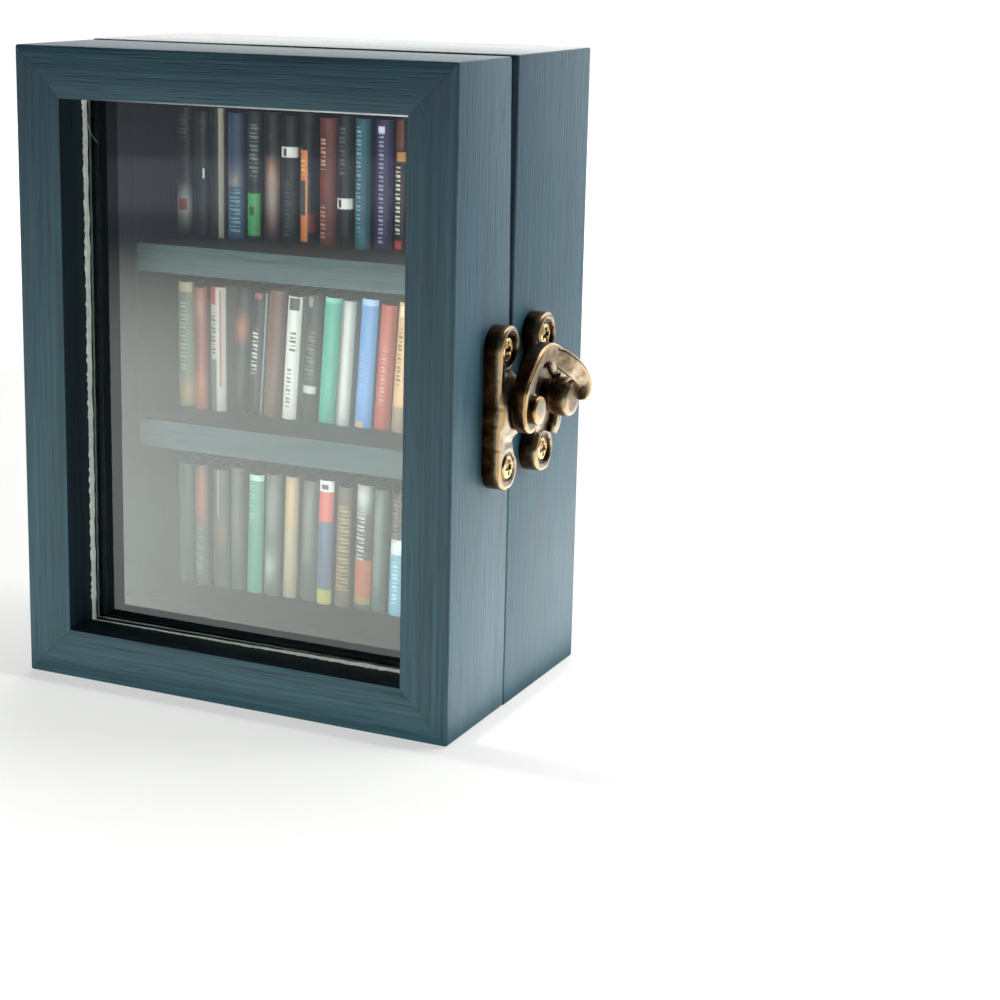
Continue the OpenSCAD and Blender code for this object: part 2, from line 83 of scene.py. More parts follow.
# %% Camera
view_turn, view_rise, view_roll = math.radians(26.2), math.radians(12.99), math.radians(0.76)
view_distance, aside, lower = 456.9 * MM, 19.54 * MM, -15.94 * MM
aim = Vector((0, (door_lo[1] + case_hi[1]) / 2, case_h / 2))
back = Vector((math.sin(view_turn) * math.cos(view_rise), -math.cos(view_turn) * math.cos(view_rise),
               math.sin(view_rise)))
level = (-back).cross(Vector((0, 0, 1))).normalized()
upright = level.cross(-back)
right = level * math.cos(view_roll) + upright * math.sin(view_roll)
up = upright * math.cos(view_roll) - level * math.sin(view_roll)
camera_data = bpy.data.cameras.new("camera")
camera_data.sensor_width = 36
camera_data.lens = 78.81
camera_data.shift_x = 0.10
camera_data.shift_y = -0.06
camera_data.clip_start = 0.01
camera = bpy.data.objects.new("camera", camera_data)
eye = aim + back * view_distance + right * aside + up * lower
camera.matrix_world = Matrix((right, up, back)).transposed().to_4x4()
camera.location = eye
bpy.context.scene.collection.objects.link(camera)
bpy.context.scene.camera = camera
print("camera at", [round(v / MM) for v in eye], "mm")

# %% [markdown]
# Each of the others is one step: arithmetic, a ramp, a mix of two colours, a cloud of noise or a bump.

# %% Helpers for node trees
def feed(tree, node, inputs):
    for key, value in inputs.items():
        if isinstance(value, bpy.types.NodeSocket):
            tree.links.new(value, node.inputs[key])
        else:
            node.inputs[key].default_value = value


def wire(tree, kind, inputs, **settings):
    made = tree.nodes.new(kind)
    for key, value in settings.items():
        setattr(made, key, value)
    feed(tree, made, inputs)
    return made


def bare(name):
    material = bpy.data.materials.new(name)
    material.use_nodes = True
    material.node_tree.nodes.clear()
    return material, material.node_tree


def finish(name):
    material, tree = bare(name)
    surface = wire(tree, "ShaderNodeBsdfPrincipled", {})
    wire(tree, "ShaderNodeOutputMaterial", {"Surface": surface.outputs[0]})
    return material, tree, surface


def tint(code):
    """A colour written as six hex digits, as linear light."""
    parts = [int(code[i:i + 2], 16) / 255 for i in (0, 2, 4)]
    return tuple(c / 12.92 if c <= 0.04045 else ((c + 0.055) / 1.055) ** 2.4 for c in parts) + (1.0,)


def maths(tree, kind, first, *others):
    for other in others or (0.0,):
        first = wire(tree, "ShaderNodeMath", {0: first, 1: other}, operation=kind).outputs[0]
    return first


def times(tree, *values):
    return maths(tree, "MULTIPLY", *values)


def plus(tree, *values):
    return maths(tree, "ADD", *values)


def minus(tree, *values):
    return maths(tree, "SUBTRACT", *values)


def ramp(tree, value, low, high, to_low=0.0, to_high=1.0, shape="LINEAR"):
    return wire(tree, "ShaderNodeMapRange", {"Value": value, "From Min": low, "From Max": high,
                                             "To Min": to_low, "To Max": to_high},
                interpolation_type=shape).outputs[0]


def colour_ramp(tree, value, stops):
    """A ramp through (place, colour) stops."""
    made = wire(tree, "ShaderNodeValToRGB", {0: value})
    elements = made.color_ramp.elements
    while len(elements) < len(stops):
        elements.new(0.5)
    for element, (place, colour) in zip(elements, stops):
        element.position, element.color = place, colour
    return made.outputs[0]


def mixed(tree, share, first, second):
    return wire(tree, "ShaderNodeMix", {"Factor": share, 6: first, 7: second}, data_type="RGBA").outputs[2]


def object_space(tree):
    return wire(tree, "ShaderNodeTexCoord", {}).outputs["Object"]


def cloud(tree, scale, detail, roughness=0.5, place=(0, 0, 0)):
    """Noise, drawn out by a different scale along each axis."""
    where = wire(tree, "ShaderNodeMapping", {"Vector": object_space(tree), "Scale": scale, "Location": place})
    return wire(tree, "ShaderNodeTexNoise", {"Vector": where.outputs[0], "Scale": 1.0, "Detail": detail,
                                             "Roughness": roughness}).outputs[0]


def bumped(tree, height, strength, depth):
    made = wire(tree, "ShaderNodeBump", {"Height": height, "Strength": strength, "Distance": depth})
    return made.outputs[0]

# %% [markdown]
# The boards are pine or poplar under a thin teal-blue stain, so the grain shows as fine dark lines that run
# along each board. Noise that is squeezed across the board and drawn out along it makes such lines. Every
# board gets its own place in the noise, so that the grain stops at each mitre as it does in real joinery.
# The stain is painted a little darker and bluer towards the top, as painted shade where less light falls.
# Inside the opening it is painted almost black, as painted shade in the recess. The lip of the door's top
# rail is painted pale towards the latch: partly stain worn off, partly a painted highlight on its edge.

# %% Stained wood
def stained_wood(name, along, place, light="295461", dark="0f2d38", gloss=0.5, sheen=0.3, painted_shade_from=None,
                 worn=False):
    material, tree, surface = finish(name)

    def grain(across, length, detail, roughness=0.6):
        scale = [across] * 3
        scale[along] = length
        return cloud(tree, scale, detail, roughness, place)

    broad, fibre = grain(130, 14, 3), grain(1100, 20, 4, 0.7)
    pores = ramp(tree, grain(2600, 90, 1), 0.56, 0.7)
    share = plus(tree, times(tree, ramp(tree, broad, 0.3, 0.7), 0.3),
                 times(tree, ramp(tree, fibre, 0.32, 0.68), 0.7))
    colour = mixed(tree, share, tint(dark), tint(light))
    colour = mixed(tree, times(tree, pores, 0.3), colour, tint("0a1a23"))
    x, y, z = wire(tree, "ShaderNodeSeparateXYZ", {0: object_space(tree)}).outputs
    # painted shade: the colour is darkened towards the top of the case, where less light falls
    if painted_shade_from:
        start, share_at_top = painted_shade_from
        painted_top_shade = times(tree, ramp(tree, z, start * case_h, case_h), share_at_top)
        colour = mixed(tree, painted_top_shade, colour, tint("10233a"))
    # painted highlight mixed with worn stain: the lip of the door's top rail turns pale towards the latch
    if worn:
        lip_z, lip_y = door_hi[2] - board_t, door_lo[1]
        on_lip = times(tree, ramp(tree, z, lip_z + 0.42 * MM, lip_z + 0.12 * MM),
                       ramp(tree, y, lip_y + 0.7 * MM, lip_y + 0.4 * MM))
        patchy = ramp(tree, plus(tree, broad, times(tree, fibre, 0.5)), 0.55, 0.7)
        lip_highlight_and_wear = times(tree, ramp(tree, x, -0.03, 0.035), patchy)
        colour = mixed(tree, times(tree, on_lip, lip_highlight_and_wear), colour, tint("dfe6e2"))
    relief = minus(tree, plus(tree, fibre, times(tree, broad, 0.8)), times(tree, pores, 0.5))
    feed(tree, surface, {"Base Color": colour, "Specular IOR Level": sheen,
                         "Roughness": ramp(tree, fibre, 0, 1, gloss - 0.06, gloss + 0.14),
                         "Normal": bumped(tree, relief, 0.55, 0.00018)})
    return material


X_AXIS, Z_AXIS = 0, 2
BOARDS = [body + part for body in ("case_", "door_") for part in ("top_rail", "bottom_rail", "left_stile",
                                                                  "right_stile")]
rail_wood = {}
for index, board in enumerate(BOARDS):
    is_rail = "rail" in board
    rail_wood[board] = stained_wood(board + "_stain", X_AXIS if is_rail else Z_AXIS,
                                    (3.1 * index, 5.7 * index, 1.3 * index),
                                    gloss=0.3 if board == "case_top_rail" else 0.5,
                                    painted_shade_from=(0.35, 0.28) if is_rail else (0.1, 0.42),
                                    worn=board == "door_top_rail")
# painted shade: a nearly black finish for the inside of the opening, where little light reaches
painted_recess_shade = [stained_wood("recess_painted_shade_along_" + way, along, (11, 3, 5), light="152a35", dark="0a151d",
                            gloss=0.6, sheen=0.1) for way, along in (("rails", X_AXIS), ("stiles", Z_AXIS))]
shelf_wood = stained_wood("shelf_stain", X_AXIS, (40, 2, 9), light="4b6062", dark="2b3f44", gloss=0.55)
panel_wood = stained_wood("back_panel_stain", Z_AXIS, (7, 31, 4), light="18242e", dark="0c141b", gloss=0.65)
print("wood finishes:", len(rail_wood) + len(painted_recess_shade) + 2)

# %% [markdown]
# A finished piece stands at the origin with its place in its mesh. piece() links a mesh as an object, gives
# it its finish, lets it ride on a body and hides the solid it stands for. Most meshes are skins over rings
# of corners, so there is one helper for that, and others for rounding and cutting.

# %% Helpers for pieces
def mesh_of(bm, name):
    bmesh.ops.recalc_face_normals(bm, faces=bm.faces)
    mesh = bpy.data.meshes.new(name)
    bm.to_mesh(mesh)
    bm.free()
    return mesh


def piece(name, shape, material, body, slot, *solids, smooth=35):
    mesh = shape if isinstance(shape, bpy.types.Mesh) else mesh_of(shape, name)
    made = bpy.data.objects.new(name, mesh)
    bpy.context.scene.collection.objects.link(made)
    if material is not None:
        mesh.materials.clear()
        mesh.materials.append(material)
    mesh.shade_smooth()
    mesh.set_sharp_from_angle(angle=math.radians(smooth))
    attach(made, body)
    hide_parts(*solids)
    return mesh


def skin(bm, rings, looped=False):
    """Quads between neighbouring rings, which are capped at both ends or go on from the last to the first."""
    for here, there in zip(rings, rings[1:] + rings[:1] if looped else rings[1:]):
        for k in range(len(here)):
            m = (k + 1) % len(here)
            bm.faces.new((here[k], here[m], there[m], there[k]))
    if not looped:
        bm.faces.new(rings[0][::-1])
        bm.faces.new(rings[-1])


def close_holes(bm):
    bmesh.ops.holes_fill(bm, edges=[e for e in bm.edges if e.is_boundary], sides=0)


def cut_off(bm, point, normal):
    """Takes away what lies beyond a plane, and closes the cut."""
    bmesh.ops.bisect_plane(bm, geom=bm.verts[:] + bm.edges[:] + bm.faces[:], dist=1e-7, plane_co=point,
                           plane_no=normal, clear_outer=True)
    close_holes(bm)


def folds(bm, more_than):
    return [e for e in bm.edges if len(e.link_faces) == 2 and e.calc_face_angle(0) > more_than]


def rounded(bm, edges, width, segments):
    bmesh.ops.bevel(bm, geom=edges, offset=width, segments=segments, profile=0.5, affect="EDGES",
                    clamp_overlap=True)

# %% [markdown]
# Both frames are sawn from one moulding and mitred at the corners, so they are made that way here. A closed
# outline of the moulding is set up at the four corners and joined into a ring. The ring's outer edges are
# rounded while it is still whole, which keeps the rounding continuous over the corners. Then two diagonal
# cuts for each board leave a hairline where the glued mitres meet.

# %% Mitred frames
mitre_gap = 0.05 * MM
edge_round = 0.45 * MM
inner_round = 0.35 * MM
long_edge = 20 * MM
lip = 0.15 * MM
hair = 1e-5


def frame_ring(outline, low_z, high_z, relief):
    """A ring from (distance in from the outside, y) points, cut back at the rear by a relief plane."""
    bm = bmesh.new()
    corners = ((-1, low_z, 1), (1, low_z, 1), (1, high_z, -1), (-1, high_z, -1))
    skin(bm, [[bm.verts.new((side * (half_w - inset), y, z + way * inset)) for inset, y in outline]
              for side, z, way in corners], looped=True)
    bmesh.ops.recalc_face_normals(bm, faces=bm.faces)
    if relief:
        cut_off(bm, *relief)

    def is_outer(v):
        return abs(v.co.x) > half_w - hair or v.co.z < low_z + hair or v.co.z > high_z - hair

    def is_inner(v):
        return (abs(v.co.x) < half_w - board_t + hair
                and low_z + board_t - hair < v.co.z < high_z - board_t + hair)

    rounded(bm, [e for e in folds(bm, 0.6) if all(is_outer(v) for v in e.verts)], edge_round, 3)
    inner = [e for e in folds(bm, 0.9) if all(is_inner(v) for v in e.verts)]
    rounded(bm, [e for e in inner if e.calc_length() > long_edge], inner_round, 2)
    return bm


def four_boards(prefix, outline, low_z, high_z, relief=None):
    """The four boards of a frame, each the part of its ring that lies behind two planes."""
    ring = frame_ring(outline, low_z, high_z, relief)
    s = math.sqrt(0.5)
    top_left, top_right = (-half_w, 0, high_z), (half_w, 0, high_z)
    foot_left, foot_right = (-half_w, 0, low_z), (half_w, 0, low_z)
    cuts = {
        "top_rail": ((top_left, (-s, 0, -s)), (top_right, (s, 0, -s))),
        "bottom_rail": ((foot_left, (-s, 0, s)), (foot_right, (s, 0, s))),
        "left_stile": ((top_left, (s, 0, s)), (foot_left, (s, 0, -s))),
        "right_stile": ((top_right, (-s, 0, s)), (foot_right, (-s, 0, -s))),
    }
    for part, planes in cuts.items():
        node = "%s_%s" % (prefix, part)
        bm = ring.copy()
        for point, normal in planes:
            cut_off(bm, Vector(point) - Vector(normal) * mitre_gap / 2, normal)
        mesh = piece(node + "_board", bm, rail_wood[node], prefix, prefix + "_wood", node)
        mesh.materials.append(painted_recess_shade["stile" in node])
        # faces inside the opening take the second finish, the painted shade of the recess
        for face in mesh.polygons:
            x, z = abs(face.center.x), face.center.z
            if x < half_w - board_t + lip and low_z + board_t - lip < z < high_z - board_t + lip:
                face.material_index = 1
    ring.free()


rebate = -panel_lo[0] - inner_w / 2
case_front, case_back = case_lo[1], case_hi[1]
case_outline = [(0, case_front), (board_t, case_front), (board_t, panel_lo[1]),
                (board_t - rebate, panel_lo[1]), (board_t - rebate, case_back), (0, case_back)]
four_boards("case", case_outline, 0, case_h)

door_front, door_rear = door_lo[1], door_hi[1]
groove = (glass_hi[0] - inner_w / 2) + 0.1 * MM
groove_front, groove_back = glass_lo[1] - 0.05 * MM, glass_hi[1] + 0.05 * MM
door_outline = [(0, door_front), (board_t, door_front), (board_t, groove_front),
                (board_t - groove, groove_front), (board_t - groove, groove_back), (board_t, groove_back),
                (board_t, door_rear), (0, door_rear)]
warp, warp_run = 3.1 * MM, 84 * MM
warp_normal = Vector((warp / (2 * half_w), 1, warp / warp_run)).normalized()
four_boards("door", door_outline, door_lo[2], door_hi[2],
            (Vector((-half_w, door_rear, door_hi[2])), warp_normal))
print("boards made:", len(BOARDS))

# %% [markdown]
# The shelves and the back panel are plain boards whose solids already have the right shape. They keep it,
# and only get their stain.

# %% Shelves and back panel
def dress(node, material):
    solid = frame["nodes"][node]
    solid.data.materials.clear()
    solid.data.materials.append(material)


for node in ("upper_shelf", "lower_shelf"):
    dress(node, shelf_wood)
dress("back_panel", panel_wood)

# %% [markdown]
# The glass reflects a little and lets the rest through. The pane has two faces, and each one gives its own
# faint picture of the table in front.

# %% Glass
def clear_glass():
    material, tree = bare("pane_glass")
    through = wire(tree, "ShaderNodeBsdfTransparent", {"Color": (0.955, 0.97, 0.965, 1)})
    mirror = wire(tree, "ShaderNodeBsdfGlossy", {"Color": (1, 1, 1, 1), "Roughness": 0.015})
    share = wire(tree, "ShaderNodeFresnel", {"IOR": 1.52})
    both = wire(tree, "ShaderNodeMixShader",
                {0: share.outputs[0], 1: through.outputs[0], 2: mirror.outputs[0]})
    wire(tree, "ShaderNodeOutputMaterial", {"Surface": both.outputs[0]})
    return material


dress("glass_pane", clear_glass())

# %% [markdown]
# The pane is held by a clear glue that dried white. Each of the four runs lies in the corner between wood
# and glass. Its edge on the glass is nearly straight, because it was wiped, and its edge on the wood is
# ragged. At one corner a drop was left, and a thread was drawn out of it over the glass.

# %% Glue beads
def dried_glue():
    material, tree, surface = finish("dried_glue")
    lumps = cloud(tree, (900,) * 3, 3.0)
    feed(tree, surface, {"Base Color": mixed(tree, lumps, tint("a7b1ae"), tint("d9dfdb")), "Roughness": 0.35,
                         "Normal": bumped(tree, lumps, 0.6, 0.0002)})
    return material


glue_step = 0.35 * MM
thread_r = 0.07 * MM
drop_r = 0.9 * MM


def wobble(i, pace, place, height):
    return noise.noise(Vector((i * pace, place, height)))


def bead(face_y, outward, widths, thread=()):
    """Beads along left, top, right and foot. widths gives each run's width at its two ends, in mm."""
    bm = bmesh.new()
    low_z, high_z = door_lo[2] + board_t, door_hi[2] - board_t
    x = inner_w / 2

    def corner(px, out, pz):
        return bm.verts.new((px, face_y + outward * out, pz))

    runs = (((-x, low_z), (-x, high_z), (1, 0)), ((-x, high_z), (x, high_z), (0, -1)),
            ((x, high_z), (x, low_z), (-1, 0)), ((x, low_z), (-x, low_z), (0, 1)))
    for run, (start, stop, inward) in enumerate(runs):
        steps = int((Vector(stop) - Vector(start)).length / glue_step)
        rows = []
        for i in range(steps + 1):
            share = i / steps
            px, pz = (start[k] + (stop[k] - start[k]) * share for k in (0, 1))
            ragged = wobble(i, 0.43, run * 5.0, 3.5) + 0.7 * wobble(i, 0.91, run * 5.0, 7.5)
            blob = math.exp(-(math.hypot(px + x, pz - high_z) / drop_r) ** 2)
            usual = widths[run][0] * (1 - share) + widths[run][1] * share
            width = usual * (1 + 0.2 * wobble(i, 0.13, run * 9.0, 0.5)) + 0.4 * blob
            fit = min(1, width / 0.45)
            rise = min(0.5, max(0.12, 0.22 + 0.62 * ragged + 0.4 * blob)) * fit
            profile = ((0, 0), (width, 0), (width * 0.92, 0.2 * fit), (width * 0.55, 0.07 * fit), (0, rise))
            rows.append([corner(px + inward[0] * w * MM, d * MM, pz + inward[1] * w * MM)
                         for w, d in profile])
        skin(bm, rows)
    rows = []
    for i, (px, pz) in enumerate(thread):
        thin = thread_r * (1 - 0.6 * i / len(thread))
        rows.append([corner(px * MM + a * thin, thread_r + b * thin, pz * MM + a * thin)
                     for a, b in ((0.7, 0), (0, 1), (-0.7, 0), (0, -1))])
    if rows:
        skin(bm, rows)
    return bm


glue_finish = dried_glue()
drawn_out = [(-37.25 + 2.3 * (i / 9) ** 2, 115.4 - 4.0 * i / 9) for i in range(10)]
front_bead = bead(glass_lo[1], -1, ((1.0, 1.0), (0.2, 0.3), (0.18, 0.15), (0.85, 0.12)), drawn_out)
rear_bead = bead(glass_hi[1], 1, ((0.35, 0.35), (0.2, 0.25), (0.3, 0.2), (0.35, 0.25)))
piece("front_glue", front_bead, glue_finish, "door", "glue", "front_glue_bead", smooth=60)
piece("rear_glue", rear_bead, glue_finish, "door", "glue", "rear_glue_bead", smooth=60)
print("glue beads made: 2")

# %% [markdown]
# A miniature book is a wrap of glossy printed paper round a block of pages. The wrap's outline, from above,
# is a long U with a round spine. One wrap and one block are modelled, a book's width wide, and every book
# in a row is an instance with its own width, height and lean. The wrap's UV map runs once across the spine
# and once up it, so that printing can be placed by shares.

# %% One book
book_depth = 20.1 * MM
cover_t = 0.4
page_inset = 0.5
usual_t, usual_h = 3.65, 27.4
spine_bulge = 0.6
spine_steps = 8


def half_outline(width, depth, first_y):
    """Spine and one side wall as (x, y) points from the middle of the spine, for a block this wide."""
    radius = spine_bulge * width
    edge = math.asin(0.5 / spine_bulge)
    points = [(-width / 2 - radius * math.sin(a), first_y + radius - radius * math.cos(a))
              for a in (edge - 2 * edge * i / spine_steps for i in range(spine_steps + 1))]
    return [(points[0][0], depth)] + points + [(points[-1][0], depth)]


def book_wrap():
    bm = bmesh.new()
    uv = bm.loops.layers.uv.new("spine")
    outside = half_outline(usual_t, book_depth / MM, 0)
    inside = [(x - cover_t, y) for x, y in half_outline(usual_t - 2 * cover_t, book_depth / MM, cover_t)]
    loop = outside + inside[::-1]
    share = [-2.0] + [i / spine_steps for i in range(spine_steps + 1)] + [3.0]
    across = share + [-9.0] * len(inside)
    floor = [bm.verts.new((x / usual_t, y * MM, 0)) for x, y in loop]
    roof = [bm.verts.new((x / usual_t, y * MM, 1)) for x, y in loop]
    count = len(loop)
    for i in range(count):
        j = (i + 1) % count
        face = bm.faces.new((floor[i], floor[j], roof[j], roof[i]))
        marks = ((across[i], 0), (across[j], 0), (across[j], 1), (across[i], 1))
        for corner, (u, v) in zip(face.loops, marks):
            corner[uv].uv = (u, v)
    n = len(outside)
    for k in range(n - 1):
        for ring, order in ((floor, 1), (roof, -1)):
            quad = [ring[k], ring[k + 1], ring[count - 2 - k], ring[count - 1 - k]]
            face = bm.faces.new(quad[::order])
            for corner in face.loops:
                corner[uv].uv = (-9.0, 0.5)
    return mesh_of(bm, "one_wrap")


def page_block():
    bm = bmesh.new()
    width = usual_t - 2 * cover_t
    loop = [(x - cover_t, y) for x, y in half_outline(width, book_depth / MM - page_inset, cover_t + 0.02)]
    skin(bm, [[bm.verts.new((x / usual_t, y * MM, z)) for x, y in loop]
              for z in (page_inset / usual_h, 1 - page_inset / usual_h)])
    return mesh_of(bm, "one_block")


one_wrap = bpy.data.objects.new("one_wrap", book_wrap())
one_block = bpy.data.objects.new("one_block", page_block())
print("a wrap has", len(one_wrap.data.polygons), "faces")

# %% [markdown]
# Each cover is printed by the same material. It starts from the cover's own colour and lays four patches
# over it, each a rectangle given as shares of the spine. A patch is flat, or a glow with soft edges, or a
# column of little bars. Colours and rectangles are attributes of the book, so one material prints them all.

# %% Printed covers
PATCHES = 4
GLOW, FLAT, BARS = -1, 0, 1


def patch_group():
    """A node group that lays one patch over a colour."""
    tree = bpy.data.node_groups.new("printed patch", "ShaderNodeTree")
    for label, kind in (("Under", "Color"), ("Place", "Color"), ("Width", "Float"), ("Ink", "Color"),
                        ("Style", "Float")):
        tree.interface.new_socket(label, in_out="INPUT", socket_type="NodeSocket" + kind)
    tree.interface.new_socket("Colour", in_out="OUTPUT", socket_type="NodeSocketColor")
    given = wire(tree, "NodeGroupInput", {}).outputs
    across_low, up_low, up_high = wire(tree, "ShaderNodeSeparateColor", {0: given["Place"]}).outputs
    across_high = plus(tree, across_low, given["Width"])
    shares = wire(tree, "ShaderNodeUVMap", {}, uv_map="spine").outputs[0]
    across, along, _ = wire(tree, "ShaderNodeSeparateXYZ", {0: shares}).outputs
    blur = plus(tree, 0.006, times(tree, maths(tree, "LESS_THAN", given["Style"], -0.5), 0.12))

    def past(value, line, soft):
        return ramp(tree, value, minus(tree, line, soft), plus(tree, line, soft), shape="SMOOTHSTEP")

    def inside(value, low, high, soft):
        return times(tree, past(value, low, soft), minus(tree, 1.0, past(value, high, soft)))

    mask = times(tree, inside(across, across_low, across_high, times(tree, blur, 3.0)),
                 inside(along, up_low, up_high, blur))
    beat = maths(tree, "SINE", times(tree, along, 190.0))
    slant = maths(tree, "SINE", plus(tree, times(tree, along, 77.0), times(tree, across, 4.0)))
    ornament = ramp(tree, plus(tree, beat, times(tree, slant, 0.7)), -0.05, 0.35)
    is_bars = maths(tree, "GREATER_THAN", given["Style"], 0.5)
    keep = plus(tree, minus(tree, 1.0, is_bars), times(tree, is_bars, ornament))
    colour = mixed(tree, times(tree, mask, keep), given["Under"], given["Ink"])
    wire(tree, "NodeGroupOutput", {"Colour": colour})
    return tree


def printed_cover():
    material, tree, surface = finish("printed_cover")
    group = patch_group()

    def carried(label):
        return wire(tree, "ShaderNodeAttribute", {}, attribute_name=label).outputs

    colour = carried("cover")["Color"]
    for k in range(PATCHES):
        width, style, _ = wire(tree, "ShaderNodeSeparateXYZ", {0: carried("style_%d" % k)["Vector"]}).outputs
        patch = wire(tree, "ShaderNodeGroup", {}, node_tree=group)
        feed(tree, patch, {"Under": colour, "Place": carried("shape_%d" % k)["Color"],
                           "Ink": carried("ink_%d" % k)["Color"], "Width": width, "Style": style})
        colour = patch.outputs["Colour"]
    worn = cloud(tree, (700, 700, 500), 4.0, 0.7)
    faded = mixed(tree, times(tree, ramp(tree, worn, 0.6, 0.75), 0.10), colour, tint("cfc9bd"))
    feed(tree, surface, {"Base Color": faded, "Roughness": 0.3, "Normal": bumped(tree, worn, 0.35, 0.0002)})
    return material


def page_paper():
    material, tree, surface = finish("page_paper")
    leaves = ramp(tree, cloud(tree, (9000, 60, 60), 1.0), 0.35, 0.65)
    feed(tree, surface, {"Base Color": mixed(tree, leaves, tint("b9ad95"), tint("efe8d8")), "Roughness": 0.9})
    return material


cover_finish, paper_finish = printed_cover(), page_paper()

# %% [markdown]
# The library of covers. Each entry is a cover colour and its patches: across from, across to, up from, up
# to (as shares of the spine), ink and style. The designs are plain bands, panels and ornaments.

# %% Cover designs
TOP_ROW = [
    ("0c1215", (0.15, 0.9, 0.12, 0.34, "a9aca8", GLOW), (0.3, 0.75, 0.2, 0.29, "8b3d33", FLAT),
     (0.35, 0.7, 0.05, 0.17, "26301f", GLOW), (0.3, 0.7, 0.74, 0.94, "39464b", BARS)),
    ("12181a", (0.68, 0.78, 0.47, 0.55, "c8ccca", FLAT), (0.1, 0.4, 0.0, 1.0, "20282a", GLOW)),
    # the pale strip down one edge of this spine is a painted highlight
    ("161a1b", (0.72, 1.1, 0.0, 1.0, "9a9484", FLAT), (0.2, 0.5, 0.1, 0.5, "2d2a26", GLOW)),
    ("1a2a40", (0.15, 0.75, 0.43, 0.54, "a39c92", GLOW), (0.0, 1.0, 0.0, 0.42, "23455c", FLAT),
     (0.2, 0.8, 0.06, 0.4, "5f8390", BARS), (0.2, 0.7, 0.5, 0.95, "2b3e58", GLOW)),
    ("171c1d", (0.05, 0.95, 0.04, 0.37, "3f8a4d", FLAT), (0.3, 0.62, 0.2, 0.27, "1d4a2b", FLAT),
     (0.3, 0.85, 0.5, 0.9, "5d6263", BARS)),
    ("15191b", (0.3, 0.85, 0.42, 0.6, "a77a62", GLOW), (0.35, 0.85, 0.2, 0.5, "8f8478", GLOW),
     (0.4, 0.8, 0.1, 0.26, "6e4b4a", GLOW)),
    ("0e1315", (0.05, 1.1, 0.68, 0.76, "c9cac5", FLAT), (0.28, 0.46, 0.69, 0.75, "26292a", FLAT),
     (0.3, 0.6, 0.06, 0.5, "3a4244", BARS)),
    ("141819", (0.0, 0.62, 0.03, 0.72, "c0713a", FLAT), (0.08, 0.5, 0.23, 0.49, "2a4147", FLAT),
     (0.62, 1.2, 0.1, 0.24, "6e2a28", FLAT), (0.12, 0.46, 0.53, 0.66, "d5b070", BARS)),
    ("54291f", (0.12, 0.45, 0.6, 0.84, "b58f80", BARS), (0.1, 0.45, 0.05, 0.33, "a88478", BARS),
     (0.1, 0.6, 0.42, 0.5, "8d3a30", GLOW)),
    ("101517", (0.0, 1.1, 0.30, 0.38, "cfd0cb", FLAT), (0.22, 0.42, 0.31, 0.37, "2a2d2e", FLAT),
     (0.25, 0.6, 0.55, 0.92, "4c5455", BARS)),
    ("1d4c5a", (0.15, 0.5, 0.1, 0.94, "6f98a0", BARS), (0.0, 1.0, 0.0, 0.14, "2d6270", GLOW)),
    ("2a2547", (0.3, 0.55, 0.06, 0.9, "8d8ba6", BARS), (0.25, 0.6, 0.9, 0.95, "c7c6d2", FLAT)),
    ("1e1714", (0.2, 0.65, 0.77, 0.98, "5c2f20", FLAT), (0.25, 0.8, 0.68, 0.75, "a8753a", FLAT),
     (0.15, 0.5, 0.14, 0.64, "c8c2b2", BARS), (0.1, 0.6, 0.03, 0.09, "a63b35", FLAT)),
    ("1c8088", (0.2, 0.7, 0.2, 0.8, "7cc3c2", BARS)),
    ("2d2724", (0.2, 0.7, 0.1, 0.9, "6d6258", BARS)),
    ("b9bab6", (0.25, 0.7, 0.12, 0.9, "565a5b", BARS), (0.0, 1.0, 0.92, 1.0, "8a8d8b", FLAT)),
    ("0f1214", (0.0, 1.0, 0.14, 0.23, "d0d0cb", FLAT), (0.3, 0.6, 0.4, 0.9, "525859", BARS)),
]
